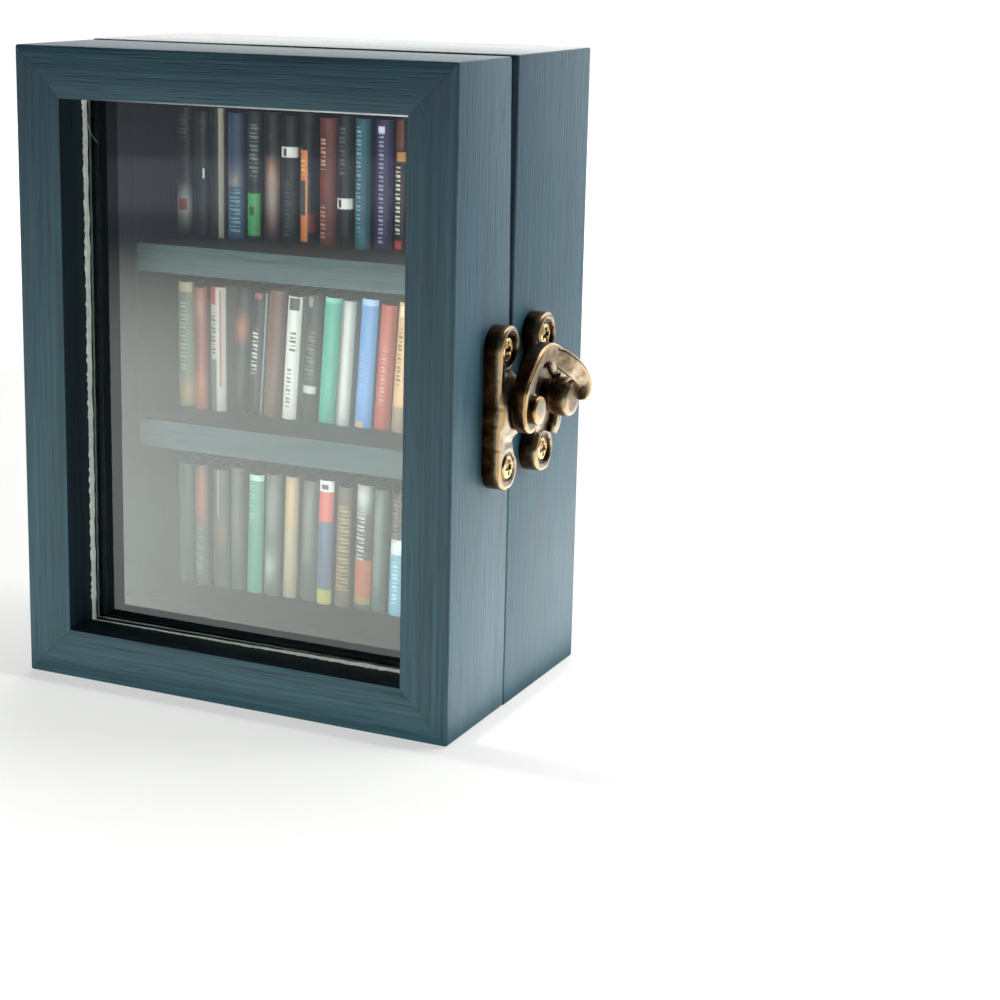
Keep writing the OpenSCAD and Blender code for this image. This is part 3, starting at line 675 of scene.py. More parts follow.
MIDDLE_ROW = [
    ("6d7c68", (0.1, 0.9, 0.92, 1.0, "b9ad8a", FLAT), (0.0, 1.0, 0.0, 0.2, "b39f72", GLOW),
     (0.2, 0.6, 0.3, 0.85, "a9ae93", BARS)),
    ("8c4a3f", (0.0, 1.0, 0.0, 0.3, "a8663f", GLOW), (0.2, 0.5, 0.3, 0.9, "6e3029", BARS),
     (0.35, 0.65, 0.76, 0.94, "b58a7d", GLOW)),
    ("a9aaa2", (0.0, 0.45, 0.86, 1.0, "9c3b38", FLAT), (0.1, 0.45, 0.45, 0.8, "4c5250", BARS),
     (0.66, 0.76, 0.2, 0.98, "9c4c48", FLAT), (0.0, 0.5, 0.0, 0.42, "5c615c", FLAT)),
    ("1c2224", (0.25, 0.85, 0.62, 0.74, "b4683c", GLOW), (0.2, 0.8, 0.3, 0.5, "2a3230", GLOW)),
    ("13181a", (0.2, 0.6, 0.34, 0.7, "b6bab6", BARS), (0.2, 0.7, 0.95, 1.0, "8e4044", FLAT),
     (0.92, 1.2, 0.0, 1.0, "97a5ad", FLAT)),
    ("6a4436", (0.2, 0.8, 0.0, 0.4, "6a5a41", GLOW), (0.6, 1.2, 0.0, 1.0, "4b2a22", GLOW)),
    ("c9cbc5", (0.25, 0.85, 0.89, 0.99, "33393a", FLAT), (0.4, 0.75, 0.55, 0.72, "3c4243", BARS),
     (0.35, 0.6, 0.1, 0.42, "5b605f", BARS)),
    ("252c2d", (0.1, 0.9, 0.22, 0.28, "aeb3b0", FLAT), (0.2, 0.7, 0.34, 0.72, "66695a", BARS),
     (0.2, 0.5, 0.9, 0.98, "7d8482", FLAT)),
    ("3da08c", (0.0, 1.0, 0.96, 1.0, "8ac7b5", FLAT), (0.55, 1.2, 0.0, 1.0, "348f7d", GLOW)),
    ("8e9492", (0.35, 0.85, 0.0, 1.0, "c2c5c1", GLOW), (0.0, 0.3, 0.0, 1.0, "7d7570", FLAT),
     (0.0, 0.06, 0.0, 1.0, "c9d2cf", FLAT)),
    ("5f8fc4", (0.0, 1.0, 0.95, 1.0, "9fbfe0", FLAT), (0.15, 0.6, 0.0, 0.05, "c2a98f", FLAT),
     (0.25, 0.4, 0.2, 0.6, "86abd4", BARS)),
    ("b0503f", (0.35, 0.6, 0.2, 0.7, "d3a094", BARS), (0.6, 1.2, 0.0, 1.0, "9a4436", GLOW),
     (0.1, 0.5, 0.6, 0.9, "b9645a", GLOW)),
    ("d2ab78", (0.2, 0.5, 0.36, 0.8, "7b5a36", BARS), (0.0, 1.0, 0.0, 0.2, "8f8268", FLAT),
     (0.2, 0.8, 0.89, 0.97, "f0d8b0", FLAT)),
    ("b8432c", (0.0, 1.0, 0.55, 0.8, "6f4a7a", FLAT), (0.0, 1.0, 0.0, 0.14, "d9cba9", FLAT)),
    ("1e1e38", (0.15, 0.85, 0.25, 0.8, "b9708c", BARS)),
    ("cfc6ab", (0.3, 0.75, 0.7, 0.82, "4f8a52", FLAT), (0.0, 1.0, 0.0, 0.2, "17191a", FLAT)),
    ("33251e", (0.1, 0.8, 0.2, 0.34, "a8855c", FLAT), (0.2, 0.9, 0.6, 0.7, "96754f", GLOW)),
]
BOTTOM_ROW = [
    ("4b504d", (0.1, 0.35, 0.0, 1.0, "777c77", GLOW)),
    ("565b50", (0.2, 0.9, 0.55, 0.95, "a05f48", GLOW), (0.2, 0.7, 0.1, 0.5, "7f8579", BARS)),
    ("464b49", (0.2, 0.8, 0.42, 0.5, "8a6c50", GLOW), (0.4, 0.5, 0.6, 1.0, "8a908c", FLAT)),
    ("474b4a", (0.3, 0.5, 0.2, 1.0, "6c706b", GLOW)),
    ("4f8a79", (0.15, 0.5, 0.6, 0.95, "84b5a2", BARS), (0.0, 1.0, 0.95, 1.0, "a9cdbd", FLAT)),
    ("4c5250", (0.1, 0.7, 0.16, 0.34, "a7aeab", GLOW), (0.2, 0.6, 0.5, 0.9, "7f8683", GLOW)),
    ("8e8570", (0.1, 0.9, 0.55, 1.0, "b99a72", GLOW), (0.1, 0.9, 0.14, 0.6, "a39a80", GLOW)),
    ("454a47", (0.35, 0.5, 0.3, 0.96, "8f9287", GLOW)),
    ("56627a", (0.0, 1.0, 0.91, 1.0, "d9dcda", FLAT), (0.0, 1.0, 0.67, 0.91, "c65f58", FLAT),
     (0.0, 1.0, 0.0, 0.12, "a3a058", FLAT), (0.3, 0.7, 0.93, 0.97, "3a3f44", FLAT)),
    ("5d5347", (0.15, 0.9, 0.14, 0.84, "a08d68", BARS)),
    ("3d4442", (0.0, 0.75, 0.82, 0.99, "c6c9c4", GLOW), (0.1, 0.6, 0.38, 0.8, "b3b4ac", BARS),
     (0.0, 1.0, 0.1, 0.4, "a3613f", FLAT), (0.0, 1.0, 0.04, 0.1, "8d8045", FLAT)),
    ("455250", (0.2, 0.5, 0.2, 0.95, "7b8c87", GLOW)),
    ("2c3536", (0.0, 1.0, 0.0, 0.55, "6ea2b8", FLAT), (0.1, 0.8, 0.5, 0.62, "cdd5d5", FLAT),
     (0.2, 0.5, 0.6, 0.95, "8d6a6c", BARS), (0.3, 0.6, 0.1, 0.45, "b3cbd5", BARS)),
    ("b4633a", (0.2, 0.7, 0.2, 0.9, "d9ab80", BARS)),
    ("2f4258", (0.0, 1.0, 0.8, 1.0, "a89b6d", FLAT), (0.3, 0.6, 0.1, 0.7, "7e93aa", BARS)),
    ("5a2f2b", (0.2, 0.8, 0.1, 0.3, "b0915e", FLAT)),
    ("8b8f86", (0.2, 0.7, 0.1, 0.9, "4a4f4c", BARS)),
]

# %% [markdown]
# A row of books is a set of points, one for each book, that carry its size, its lean and its printing. A
# small Geometry Nodes tree puts the wrap or the block on each point, makes the copies real and gives them
# their material. The middle row leans over a little, and the bottom one leans less, as loose books do.

# %% Rows of books
def instance_tree():
    tree = bpy.data.node_groups.new("put one on each point", "GeometryNodeTree")
    for label, kind in (("Points", "Geometry"), ("Copy", "Object"), ("Finish", "Material")):
        tree.interface.new_socket(label, in_out="INPUT", socket_type="NodeSocket" + kind)
    tree.interface.new_socket("Geometry", in_out="OUTPUT", socket_type="NodeSocketGeometry")
    given = wire(tree, "NodeGroupInput", {}).outputs
    copy = wire(tree, "GeometryNodeObjectInfo", {"Object": given["Copy"]})
    turn, size = (wire(tree, "GeometryNodeInputNamedAttribute", {"Name": label}, data_type="FLOAT_VECTOR")
                  for label in ("turn", "size"))
    placed = wire(tree, "GeometryNodeInstanceOnPoints",
                  {"Points": given["Points"], "Instance": copy.outputs["Geometry"],
                   "Rotation": turn.outputs[0], "Scale": size.outputs[0]})
    real = wire(tree, "GeometryNodeRealizeInstances", {0: placed.outputs[0]})
    painted = wire(tree, "GeometryNodeSetMaterial",
                   {"Geometry": real.outputs[0], "Material": given["Finish"]})
    wire(tree, "NodeGroupOutput", {0: painted.outputs[0]})
    return tree


put_on_points = instance_tree()


def copies_on_points(name, points, attributes, copy, material):
    """A plain mesh of copies, one on each point, with the points' attributes kept."""
    spots = bpy.data.meshes.new(name + "_points")
    spots.from_pydata(points, [], [])
    for label, (kind, values) in attributes.items():
        layer = spots.attributes.new(label, kind, "POINT")
        layer.data.foreach_set("color" if kind == "FLOAT_COLOR" else "vector",
                               [number for value in values for number in value])
    holder = bpy.data.objects.new(name + "_points", spots)
    bpy.context.scene.collection.objects.link(holder)
    modifier = holder.modifiers.new("copies", "NODES")
    modifier.node_group = put_on_points
    for item in put_on_points.interface.items_tree:
        if item.in_out == "INPUT" and item.name in ("Copy", "Finish"):
            modifier[item.identifier] = copy if item.name == "Copy" else material
    evaluated = holder.evaluated_get(bpy.context.evaluated_depsgraph_get())
    mesh = bpy.data.meshes.new_from_object(evaluated)
    mesh.name = name
    bpy.data.objects.remove(holder)
    return mesh


books_in_row = 17
usual_t_vary, usual_h_vary = 0.35, 0.5
pitch, side_room = 4.4 * MM, 0.3 * MM
setback, stagger = 14.1 * MM, 0.9 * MM
shelf_tops = [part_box(node)[1][2] for node in ("upper_shelf", "lower_shelf", "case_bottom_rail")]
leans = (0.0, 3.6, 1.6)
upright_books = (books_in_row, 3, 4)


def book_points(row):
    """Places, leans and sizes of one row's books, by the rule that the solids follow."""
    places, turns, sizes = [], [], []
    for i in range(books_in_row):
        thick, tall, deep = (math.sin(math.radians(turn * i + 40 + 71 * row)) for turn in (137, 211, 97))
        t = (usual_t + usual_t_vary * thick) * MM
        lean = 0 if i < upright_books[row] else math.radians(leans[row])
        places.append((-inner_w / 2 + side_room + i * pitch + t,
                       case_front + setback + stagger * (0.5 + 0.5 * deep), shelf_tops[row]))
        turns.append((0, lean, 0))
        sizes.append((t, 1, (usual_h + usual_h_vary * tall) * MM))
    return places, {"turn": ("FLOAT_VECTOR", turns), "size": ("FLOAT_VECTOR", sizes)}


def printing(designs):
    """The point attributes that print these designs."""
    found = {"cover": ("FLOAT_COLOR", [tint(d[0]) for d in designs])}
    blank = (0, 0, -5, -4, "000000", FLAT)
    for k in range(PATCHES):
        rows = [d[1 + k] if len(d) > 1 + k else blank for d in designs]
        found["shape_%d" % k] = ("FLOAT_COLOR", [(r[0], r[2], r[3], 1) for r in rows])
        found["ink_%d" % k] = ("FLOAT_COLOR", [tint(r[4]) for r in rows])
        found["style_%d" % k] = ("FLOAT_VECTOR", [(r[1] - r[0], r[5], 0) for r in rows])
    return found


for row, (label, designs) in enumerate((("top", TOP_ROW), ("middle", MIDDLE_ROW), ("bottom", BOTTOM_ROW))):
    places, sizing = book_points(row)
    for kind, copy, attributes, material, slot, node in (
            ("wraps", one_wrap, {**sizing, **printing(designs)}, cover_finish, "covers_" + label, "covers"),
            ("blocks", one_block, sizing, paper_finish, "paper", "pages")):
        name = "%s_row_%s" % (label, kind)
        mesh = copies_on_points(name, places, attributes, copy, material)
        piece(name, mesh, None, "case", slot, "%s_row_%s" % (label, node))
print("books made:", 3 * books_in_row)

# %% [markdown]
# The hinges, plates and screws are plated metal. Brass is bright and only a little dull; the latch is
# bronze that was darkened in a bath and then rubbed, so its edges shine. The rubbed places are painted into
# each mesh as a share from 0 to 1, and the material goes by it from the dark bath to the bright metal.

# %% Metals
def plated(name, colours, rough, marks):
    material, tree, surface = finish(name)
    stain = cloud(tree, (420,) * 3, 5.0, 0.65)
    rub = wire(tree, "ShaderNodeAttribute", {}, attribute_name="rub").outputs["Fac"]
    uneven = times(tree, minus(tree, stain, 0.5), marks * 2)
    stops = [(place, tint(code)) for place, code in zip((0.03, 0.27, 0.5, 0.95), colours)]
    pits = cloud(tree, (1500,) * 3, 2.0)
    feed(tree, surface, {"Base Color": colour_ramp(tree, plus(tree, rub, uneven), stops), "Metallic": 1.0,
                         "Roughness": ramp(tree, stain, 0, 1, rough - 0.08, rough + 0.16),
                         "Normal": bumped(tree, pits, 0.2, 0.0001)})
    return material


bronze = plated("rubbed_bronze", ("21160c", "50371f", "7d7462", "9f7b50"), 0.3, 0.42)
screw_brass = plated("screw_brass", ("140d07", "57431f", "94794a", "cbb283"), 0.28, 0.15)
hinge_brass = plated("hinge_brass", ("7d5b2a", "a07c3c", "c19a4e", "e6c57a"), 0.28, 0.25)


def rub_layer(bm):
    return bm.verts.layers.float.new("rub")


def rubbed(bm, layer, point, share):
    """A corner that knows how far its plating is rubbed away."""
    corner = bm.verts.new(point)
    corner[layer] = share
    return corner

# %% [markdown]
# The latch plates are castings: thick, round at the ends, with a dish round each screw and soft edges. Such
# a form is easiest as a field of heights. Each row of the grid runs across the plate from one side of its
# outline to the other, and a height function gives the dome, the dishes and the boss.

# %% Cast plates
plate_t = 3.75
plate_screw_z = 11.6
lobe_r = 4.6
latch_z = 64.1 * MM
hook_plate_y, catch_y, pivot_y = -27.55 * MM, -9.35 * MM, -26.15 * MM
plate_rows, plate_columns = 120, 30


def smoothstep(low, high, value):
    t = min(1, max(0, (value - low) / (high - low)))
    return t * t * (3 - 2 * t)


def lobe_half(z):
    """Half the width of a screw lobe at this height, or nothing beyond it."""
    d = abs(z) - plate_screw_z
    return math.sqrt(max(0, lobe_r * lobe_r - d * d)) if abs(d) < lobe_r else 0


def on_side(y0):
    """Turns (y, z, outwards) in millimetres, seen from a point on the latch side, into the frame."""
    return lambda y, z, out: (half_w + out * MM, y0 + y * MM, latch_z + z * MM)


def cast_plate(y0, left, right, boss, dish_depths):
    """left(z) and right(z) give the outline; boss(y, z) the height that is added to the flat face."""
    bm = bmesh.new()
    rub = rub_layer(bm)
    place = on_side(y0)
    end = plate_screw_z + lobe_r
    rows, walls, feet = [], [], []
    for i in range(plate_rows + 1):
        z = -end * math.cos(math.pi * i / plate_rows)
        low, high = left(z), right(z)
        row = []
        for j in range(plate_columns + 1):
            y = low + (high - low) * (0.5 - 0.5 * math.cos(math.pi * j / plate_columns))
            rim = min(y - low, high - y, end - abs(z)) if high > low else 0
            d = math.hypot(y, abs(z) - plate_screw_z)
            edge = 0.8 * (1 - math.sqrt(max(0, 1 - (1 - min(1, max(0, rim) / 0.9)) ** 2)))
            dish = dish_depths[z > 0] * (1 - smoothstep(2.5, 3.7, d))
            out = plate_t - edge - dish + boss(y, z)
            share = 0.45 + 0.55 * math.exp(-((rim - 0.25) / 0.17) ** 2) - 0.5 * (dish > 0.3) * (d > 2.4)
            row.append(rubbed(bm, rub, place(y, z, max(0.4, out)), share))
        rows.append(row)
        for store, out, share in ((walls, plate_t - 1.5, 0.25), (feet, 0.0, 0.05)):
            store.append([rubbed(bm, rub, place(edge_y, z, out), share) for edge_y in (low, high)])
    for i in range(plate_rows):
        for j in range(plate_columns):
            bm.faces.new((rows[i][j], rows[i][j + 1], rows[i + 1][j + 1], rows[i + 1][j]))
        for side, column in ((0, 0), (1, -1)):
            bm.faces.new((rows[i][column], rows[i + 1][column], walls[i + 1][side], walls[i][side]))
            bm.faces.new((walls[i][side], walls[i + 1][side], feet[i + 1][side], feet[i][side]))
        bm.faces.new((feet[i][0], feet[i + 1][0], feet[i + 1][1], feet[i][1]))
    bmesh.ops.remove_doubles(bm, verts=bm.verts, dist=0.004 * MM)
    close_holes(bm)
    return bm


def hook_plate_left(z):
    if z > plate_screw_z or z < -plate_screw_z:
        return -lobe_half(z)
    return sum(0.16 * math.exp(-((z - at) / 0.16) ** 2) for at in (-7.3, -2.6, -0.2, 0.9, 6.4)) - lobe_r


def hook_plate_right(z):
    if abs(z) > plate_screw_z:
        return lobe_half(z)
    waist = 2.7 + 1.9 * smoothstep(8.4, plate_screw_z, abs(z))
    return max(waist, 7.2 - 4.6 * smoothstep(2.6, 7.2, abs(z)))


def hook_boss(y, z):
    d = math.hypot(y - 1.2, z)
    dip = 0.9 * math.exp(-((z - 7.6) / 1.0) ** 2) + 0.3 * math.exp(-((z + 6.6) / 1.2) ** 2)
    return 1.2 * (1 - smoothstep(4.2, 6.8, d)) - dip * smoothstep(-3.2, -0.8, y)


def catch_side(z):
    if abs(z) > plate_screw_z:
        return lobe_half(z)
    waist = 3.4 + 1.2 * smoothstep(8.0, plate_screw_z, abs(z))
    return max(waist, 7.0 * math.sqrt(max(0, 1 - (z / 8.4) ** 2)))


def catch_dips(y, z):
    return -0.4 * math.exp(-((abs(z) - 7.4) / 0.9) ** 2)


hook_plate = cast_plate(hook_plate_y, hook_plate_left, hook_plate_right, hook_boss, (0.45, 1.3))
catch_plate = cast_plate(catch_y, lambda z: -catch_side(z), catch_side, catch_dips, (0.8, 1.0))
piece("hook_plate_casting", hook_plate, bronze, "door", "bronze", "hook_plate", smooth=50)
piece("catch_plate_casting", catch_plate, bronze, "case", "bronze", "catch_plate", smooth=50)
print("latch plates made: 2")

# %% [markdown]
# The knob and the rivet were turned on a lathe, and so are these: an outline of radius and height is spun
# round its axis.

# %% Turned pieces
lathe_sides = 48


def lathe(bm, rub, place, outline, drop=0.0, looped=False):
    """outline holds (radius, outwards, rub) points in millimetres, from the foot to the top."""
    angles = [2 * math.pi * k / lathe_sides for k in range(lathe_sides)]
    skin(bm, [[rubbed(bm, rub, place(radius * math.cos(a), radius * math.sin(a) - drop, out), share)
               for a in angles] for radius, out, share in outline], looped)


def turned(y0, outline, drop=0.0):
    bm = bmesh.new()
    lathe(bm, rub_layer(bm), on_side(y0), outline, drop)
    return bm


knob_outline = [(3.0, 3.3, 0.05), (3.25, 3.9, 0.1), (3.3, 5.2, 0.15), (3.5, 5.35, 0.3), (3.85, 5.8, 0.3),
                (3.92, 6.6, 0.2), (3.94, 7.8, 0.25), (3.9, 8.6, 0.35), (3.75, 9.1, 0.5), (3.45, 9.5, 0.6),
                (3.0, 9.72, 0.4), (1.6, 9.8, 0.3), (0.3, 9.8, 0.3)]
rivet_outline = [(1.2, 4.4, 0.1), (1.2, 7.9, 0.1), (2.6, 7.95, 0.1), (2.75, 8.1, 0.15), (2.8, 9.0, 0.15),
                 (2.78, 9.3, 0.5), (2.65, 9.55, 1.0), (2.4, 9.66, 0.7), (1.0, 9.7, 0.5), (0.2, 9.7, 0.5)]
piece("catch_knob_turned", turned(catch_y, knob_outline, 0.45), bronze, "case", "bronze", "catch_knob",
      smooth=40)
piece("hook_rivet_turned", turned(pivot_y, rivet_outline), bronze, "door", "bronze", "hook_rivet", smooth=40)

# %% [markdown]
# The hook is the only piece that is truly free in form. It starts under the rivet, climbs round it as a
# thick wall, arches over the knob as a dished crescent, and drops behind it as a leg; a tongue for the
# finger curls out of its back. A loft through listed sections gives this: each section says where its
# outer and inner edges lie and how high each one stands.

# %% The hook
HOOK_SECTIONS = [
    # outer y, z, inner y, z, foot height, height at the outer edge, height at the inner edge
    (3.2, -3.2, 2.0, -1.6, 5.2, 7.9, 7.8),
    (1.3, -4.3, 0.6, -1.6, 5.2, 8.2, 8.0),
    (-1.2, -4.55, -0.5, -1.3, 5.2, 8.3, 8.0),
    (-3.5, -3.1, -1.1, -0.7, 5.2, 8.4, 8.0),
    (-4.7, -0.6, -1.2, 0.2, 5.2, 8.45, 8.0),
    (-4.85, 2.4, 0.6, 2.3, 5.2, 8.6, 8.0),
    (-4.4, 4.9, 2.1, 4.7, 5.2, 8.7, 7.9),
    (-1.9, 7.3, 3.5, 6.3, 5.2, 8.7, 7.8),
    (1.7, 10.2, 5.5, 7.4, 5.3, 8.7, 7.7),
    (4.7, 11.5, 7.0, 7.8, 5.4, 8.6, 7.6),
    (8.5, 11.8, 8.9, 7.8, 5.5, 8.5, 7.5),
    (12.2, 10.8, 11.4, 6.8, 5.5, 8.3, 7.3),
    (15.0, 9.6, 13.9, 4.2, 5.4, 8.0, 7.1),
    (18.0, 8.2, 16.2, 4.6, 5.0, 7.4, 6.8),
    (21.0, 6.6, 18.4, 4.4, 4.5, 6.8, 6.3),
    (22.8, 4.6, 20.1, 3.6, 3.8, 6.0, 5.9),
    (23.1, 2.0, 20.5, 1.9, 3.4, 5.4, 5.3),
    (23.0, -1.6, 20.2, -1.3, 3.4, 5.15, 5.15),
    (22.6, -4.6, 19.8, -4.2, 3.4, 5.1, 5.1),
    (21.7, -7.4, 18.9, -6.9, 3.4, 5.05, 5.05),
    (20.6, -9.1, 18.7, -8.5, 3.6, 4.7, 4.7),
]
TAB_SECTIONS = [
    # upper edge y, z, height, lower edge y, z, height
    (11.4, 10.2, 7.0, 13.4, 6.2, 6.4),
    (13.2, 9.9, 8.5, 14.2, 4.9, 8.1),
    (14.7, 8.8, 9.8, 15.2, 3.9, 9.2),
    (16.5, 7.4, 10.8, 16.6, 3.1, 9.5),
    (18.0, 5.6, 11.6, 18.6, 2.0, 9.5),
    (19.4, 3.4, 12.0, 20.0, 0.9, 9.2),
    (20.0, 1.2, 12.1, 20.7, -0.2, 8.9),
    (20.2, -0.3, 11.8, 20.7, -1.0, 9.0),
    (20.2, -1.2, 11.2, 20.5, -1.7, 9.6),
]
tab_half_t, tab_corners = 0.6, 16
smooth_steps = 5


def smooth_through(rows, steps):
    """Catmull-Rom points through rows of numbers."""
    out = []
    for i in range(len(rows) - 1):
        p = [rows[max(0, i - 1)], rows[i], rows[i + 1], rows[min(len(rows) - 1, i + 2)]]
        for k in range(steps):
            t = k / steps
            out.append([0.5 * (2 * b + (c - a) * t + (2 * a - 5 * b + 4 * c - d) * t * t
                               + (3 * b - a - 3 * c + d) * t ** 3) for a, b, c, d in zip(*p)])
    return out + [list(rows[-1])]


def loft(bm, rub, rings):
    skin(bm, [[rubbed(bm, rub, point, share) for point, share in ring] for ring in rings])


def arm_rings(place):
    """The arc and the leg: ten corners round each section."""
    rings = []
    for oy, oz, iy, iz, foot, high, low in smooth_through(HOOK_SECTIONS, smooth_steps):
        span = Vector((iy - oy, iz - oz))
        across, width = span.normalized(), span.length
        soft = min(0.45, 0.2 * (min(high, low) - foot), 0.3 * width)
        under = max(foot, low - 2.6)
        profile = ((soft, foot, 0.05), (0, foot + soft, 0.12), (0, high - soft * 1.8, 0.12),
                   (soft * 0.3, high - soft * 0.45, 1.0), (soft, high, 0.75),
                   (width * 0.35, high * 0.5 + low * 0.5, 0.45), (width - soft, low, 0.45),
                   (width, low - soft, 0.6), (width, under + soft, 0.05), (width - soft, under, 0.05))
        rings.append([(place(oy + across.x * inset, oz + across.y * inset, out), share)
                      for inset, out, share in profile])
    return rings


def tab_rings(place):
    """The finger tab: a rounded oblong round each section, square to the tab's run."""
    rings = []
    rows = smooth_through(TAB_SECTIONS, smooth_steps)
    for i, row in enumerate(rows):
        top, foot = Vector(row[:3]), Vector(row[3:])
        run = (Vector(rows[min(i + 1, len(rows) - 1)][:3]) - Vector(rows[max(i - 1, 0)][:3])).normalized()
        side = (top - foot) / 2
        face = run.cross(side).normalized()
        ring = []
        for k in range(tab_corners):
            a = 2 * math.pi * k / tab_corners
            c, s = math.cos(a), math.sin(a)
            point = ((top + foot) / 2 + side * math.copysign(abs(c) ** 0.6, c)
                     + face * math.copysign(abs(s) ** 0.8, s) * tab_half_t)
            ring.append((place(*point), 0.42 + 0.5 * abs(c) ** 4))
        rings.append(ring)
    return rings


eye_outline = ((1.3, 5.2, 0.1), (3.0, 5.2, 0.1), (3.3, 5.4, 0.2), (3.3, 7.6, 0.25), (3.1, 7.85, 0.5),
               (1.3, 7.9, 0.3))
hook_bm = bmesh.new()
hook_rub, hook_place = rub_layer(hook_bm), on_side(pivot_y)
loft(hook_bm, hook_rub, arm_rings(hook_place))
loft(hook_bm, hook_rub, tab_rings(hook_place))
lathe(hook_bm, hook_rub, hook_place, eye_outline, looped=True)
piece("hook_casting", hook_bm, bronze, "hook", "bronze", "hook", smooth=45)
print("hook made")

# %% [markdown]
# All screws have a cross recess. One head is modelled, a shallow dome with a cross-shaped pit, and copied
# to every screw by the same tree that set out the books.

# %% Screws
def screw_head(count=40):
    """A head of radius one whose rim lies at height nought, with a cross recess."""
    bm = bmesh.new()
    rub = rub_layer(bm)
    grid = []
    for i in range(count + 1):
        grid.append([])
        for j in range(count + 1):
            x, y = -1 + 2 * i / count, -1 + 2 * j / count
            # squares are bent into a disc so that the rim is round
            px, py = x * math.sqrt(1 - y * y / 2), y * math.sqrt(1 - x * x / 2)
            r = math.hypot(px, py)
            arm = min(max(abs(px) / 0.62, abs(py) / 0.19), max(abs(py) / 0.62, abs(px) / 0.19))
            pit = 0.5 * (1 - smoothstep(0.75, 1.1, arm))
            dome = 0.16 * (1 - r * r) - 0.16 * smoothstep(0.88, 1.0, r)
            share = 0.1 if pit > 0.1 else 0.55 + 0.45 * math.exp(-((arm - 1.25) / 0.2) ** 2)
            grid[i].append(rubbed(bm, rub, (px, py, dome - pit), share))
    for i in range(count):
        for j in range(count):
            bm.faces.new((grid[i][j], grid[i + 1][j], grid[i + 1][j + 1], grid[i][j + 1]))
    skirt = bmesh.ops.extrude_edge_only(bm, edges=[e for e in bm.edges if e.is_boundary])
    for v in (g for g in skirt["geom"] if isinstance(g, bmesh.types.BMVert)):
        v.co = (v.co.x * 0.45, v.co.y * 0.45, -0.55)
    close_holes(bm)
    return mesh_of(bm, "one_screw_head")


one_screw = bpy.data.objects.new("one_screw_head", screw_head())


def screws(name, places, radius, spins, toward, body, node):
    """Screw heads at (x, y, z) places in metres, each turned by its own spin, facing along +X or -X."""
    facing = Matrix.Rotation(math.radians(90 * toward), 3, "Y")
    turns = [tuple((facing @ Matrix.Rotation(math.radians(spin), 3, "Z")).to_euler()) for spin in spins]
    sizes = [(radius * MM,) * 3] * len(places)
    mesh = copies_on_points(name, places, {"turn": ("FLOAT_VECTOR", turns), "size": ("FLOAT_VECTOR", sizes)},
                            one_screw, screw_brass)
    piece(name, mesh, None, body, "screw_brass", node, smooth=40)


for name, y, outs, radius, spins, body, node in (
        ("catch_screw_heads", catch_y, (3.15, 3.15), 2.5, (3, 12), "case", "catch_screws"),
        ("hook_plate_screw_heads", hook_plate_y, (3.6, 3.0), 2.45, (-3, 5), "door", "hook_plate_screws")):
    places = [(half_w + out * MM, y, latch_z + s * plate_screw_z * MM) for s, out in zip((-1, 1), outs)]
    screws(name, places, radius, spins, 1, body, node)
hinge_boxes = [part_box(n) for n in ("lower_hinge_case_leaf", "upper_hinge_case_leaf")]
hinge_zs = [lo[2] + s * (hi[2] - lo[2]) for lo, hi in hinge_boxes for s in (0.25, 0.75)]
hinge_screw_y = (2.4 + 9) / 2 * MM
leaf_out = -half_w - 0.8 * MM
for sign, body, node in ((1, "case", "hinge_case_screws"), (-1, "door", "hinge_door_screws")):
    screws(node + "_heads", [(leaf_out, case_front + sign * hinge_screw_y, z) for z in hinge_zs], 1.38,
           (15, 40, 70, 5), -1, body, node)
print("screw groups made: 4")

# %% [markdown]
# The hinge leaves and pins keep the exact shape of their solids. A copy of each is welded and its edges get
# a narrow rounding, because no pressed metal edge is perfectly sharp. The broad faces of a leaf are then
# shaded flat and everything small is shaded smooth, so that the leaf looks flat and its knuckles look
# round.

# %% Hinges
broad_face = 4 * MM * MM


def softened(node, body, slot, width):
    """A rounded copy of a solid, in place of it."""
    bm = bmesh.new()
    bm.from_mesh(frame["nodes"][node].data)
    bmesh.ops.remove_doubles(bm, verts=bm.verts, dist=1e-6)
    bmesh.ops.dissolve_limit(bm, angle_limit=math.radians(1), verts=bm.verts, edges=bm.edges)
    rounded(bm, folds(bm, math.radians(40)), width, 2)
    rub = rub_layer(bm)
    for corner in bm.verts:
        corner[rub] = 0.7
    mesh = piece(node + "_metal", bm, hinge_brass, body, slot, node, smooth=40)
    for face in mesh.polygons:
        face.use_smooth = face.area < broad_face


for which in ("upper", "lower"):
    for body in ("case", "door"):
        softened("%s_hinge_%s_leaf" % (which, body), body, "brass", 0.12 * MM)
    softened(which + "_hinge_pin", "case", "pin_brass", 0.2 * MM)
print("hinge pieces made: 6")

# %% [markdown]
# The case stands on a wide pale table. Its own glow grows outwards, so that no edge of it shows: a disc
# carries the shadow, and a ring that only the camera sees goes on from there to the horizon.

# %% Table
near_r, far_r = 0.6, 8.0
glow_from = 0.3
ring_corners = 96


def table_finish():
    material, tree, surface = finish("table_top")
    speckle = mixed(tree, cloud(tree, (9,) * 3, 2.0), (0.3, 0.3, 0.295, 1), (0.29, 0.29, 0.286, 1))
    away = wire(tree, "ShaderNodeVectorMath", {0: object_space(tree)}, operation="LENGTH").outputs["Value"]
    feed(tree, surface, {"Base Color": speckle, "Roughness": 0.8, "Emission Color": (1, 1, 1, 1),
                         "Emission Strength": ramp(tree, away, glow_from, near_r, 0.55, 1.0, "SMOOTHSTEP")})
    return material


def staged(name, bm, material):
    made = bpy.data.objects.new(name, mesh_of(bm, name))
    made.data.materials.append(material)
    bpy.context.scene.collection.objects.link(made)
    return made


def hide_from(thing, *rays):
    for ray in rays:
        setattr(thing, "visible_" + ray, False)


def circle(bm, radius):
    return bmesh.ops.create_circle(bm, segments=ring_corners, radius=radius)["verts"]


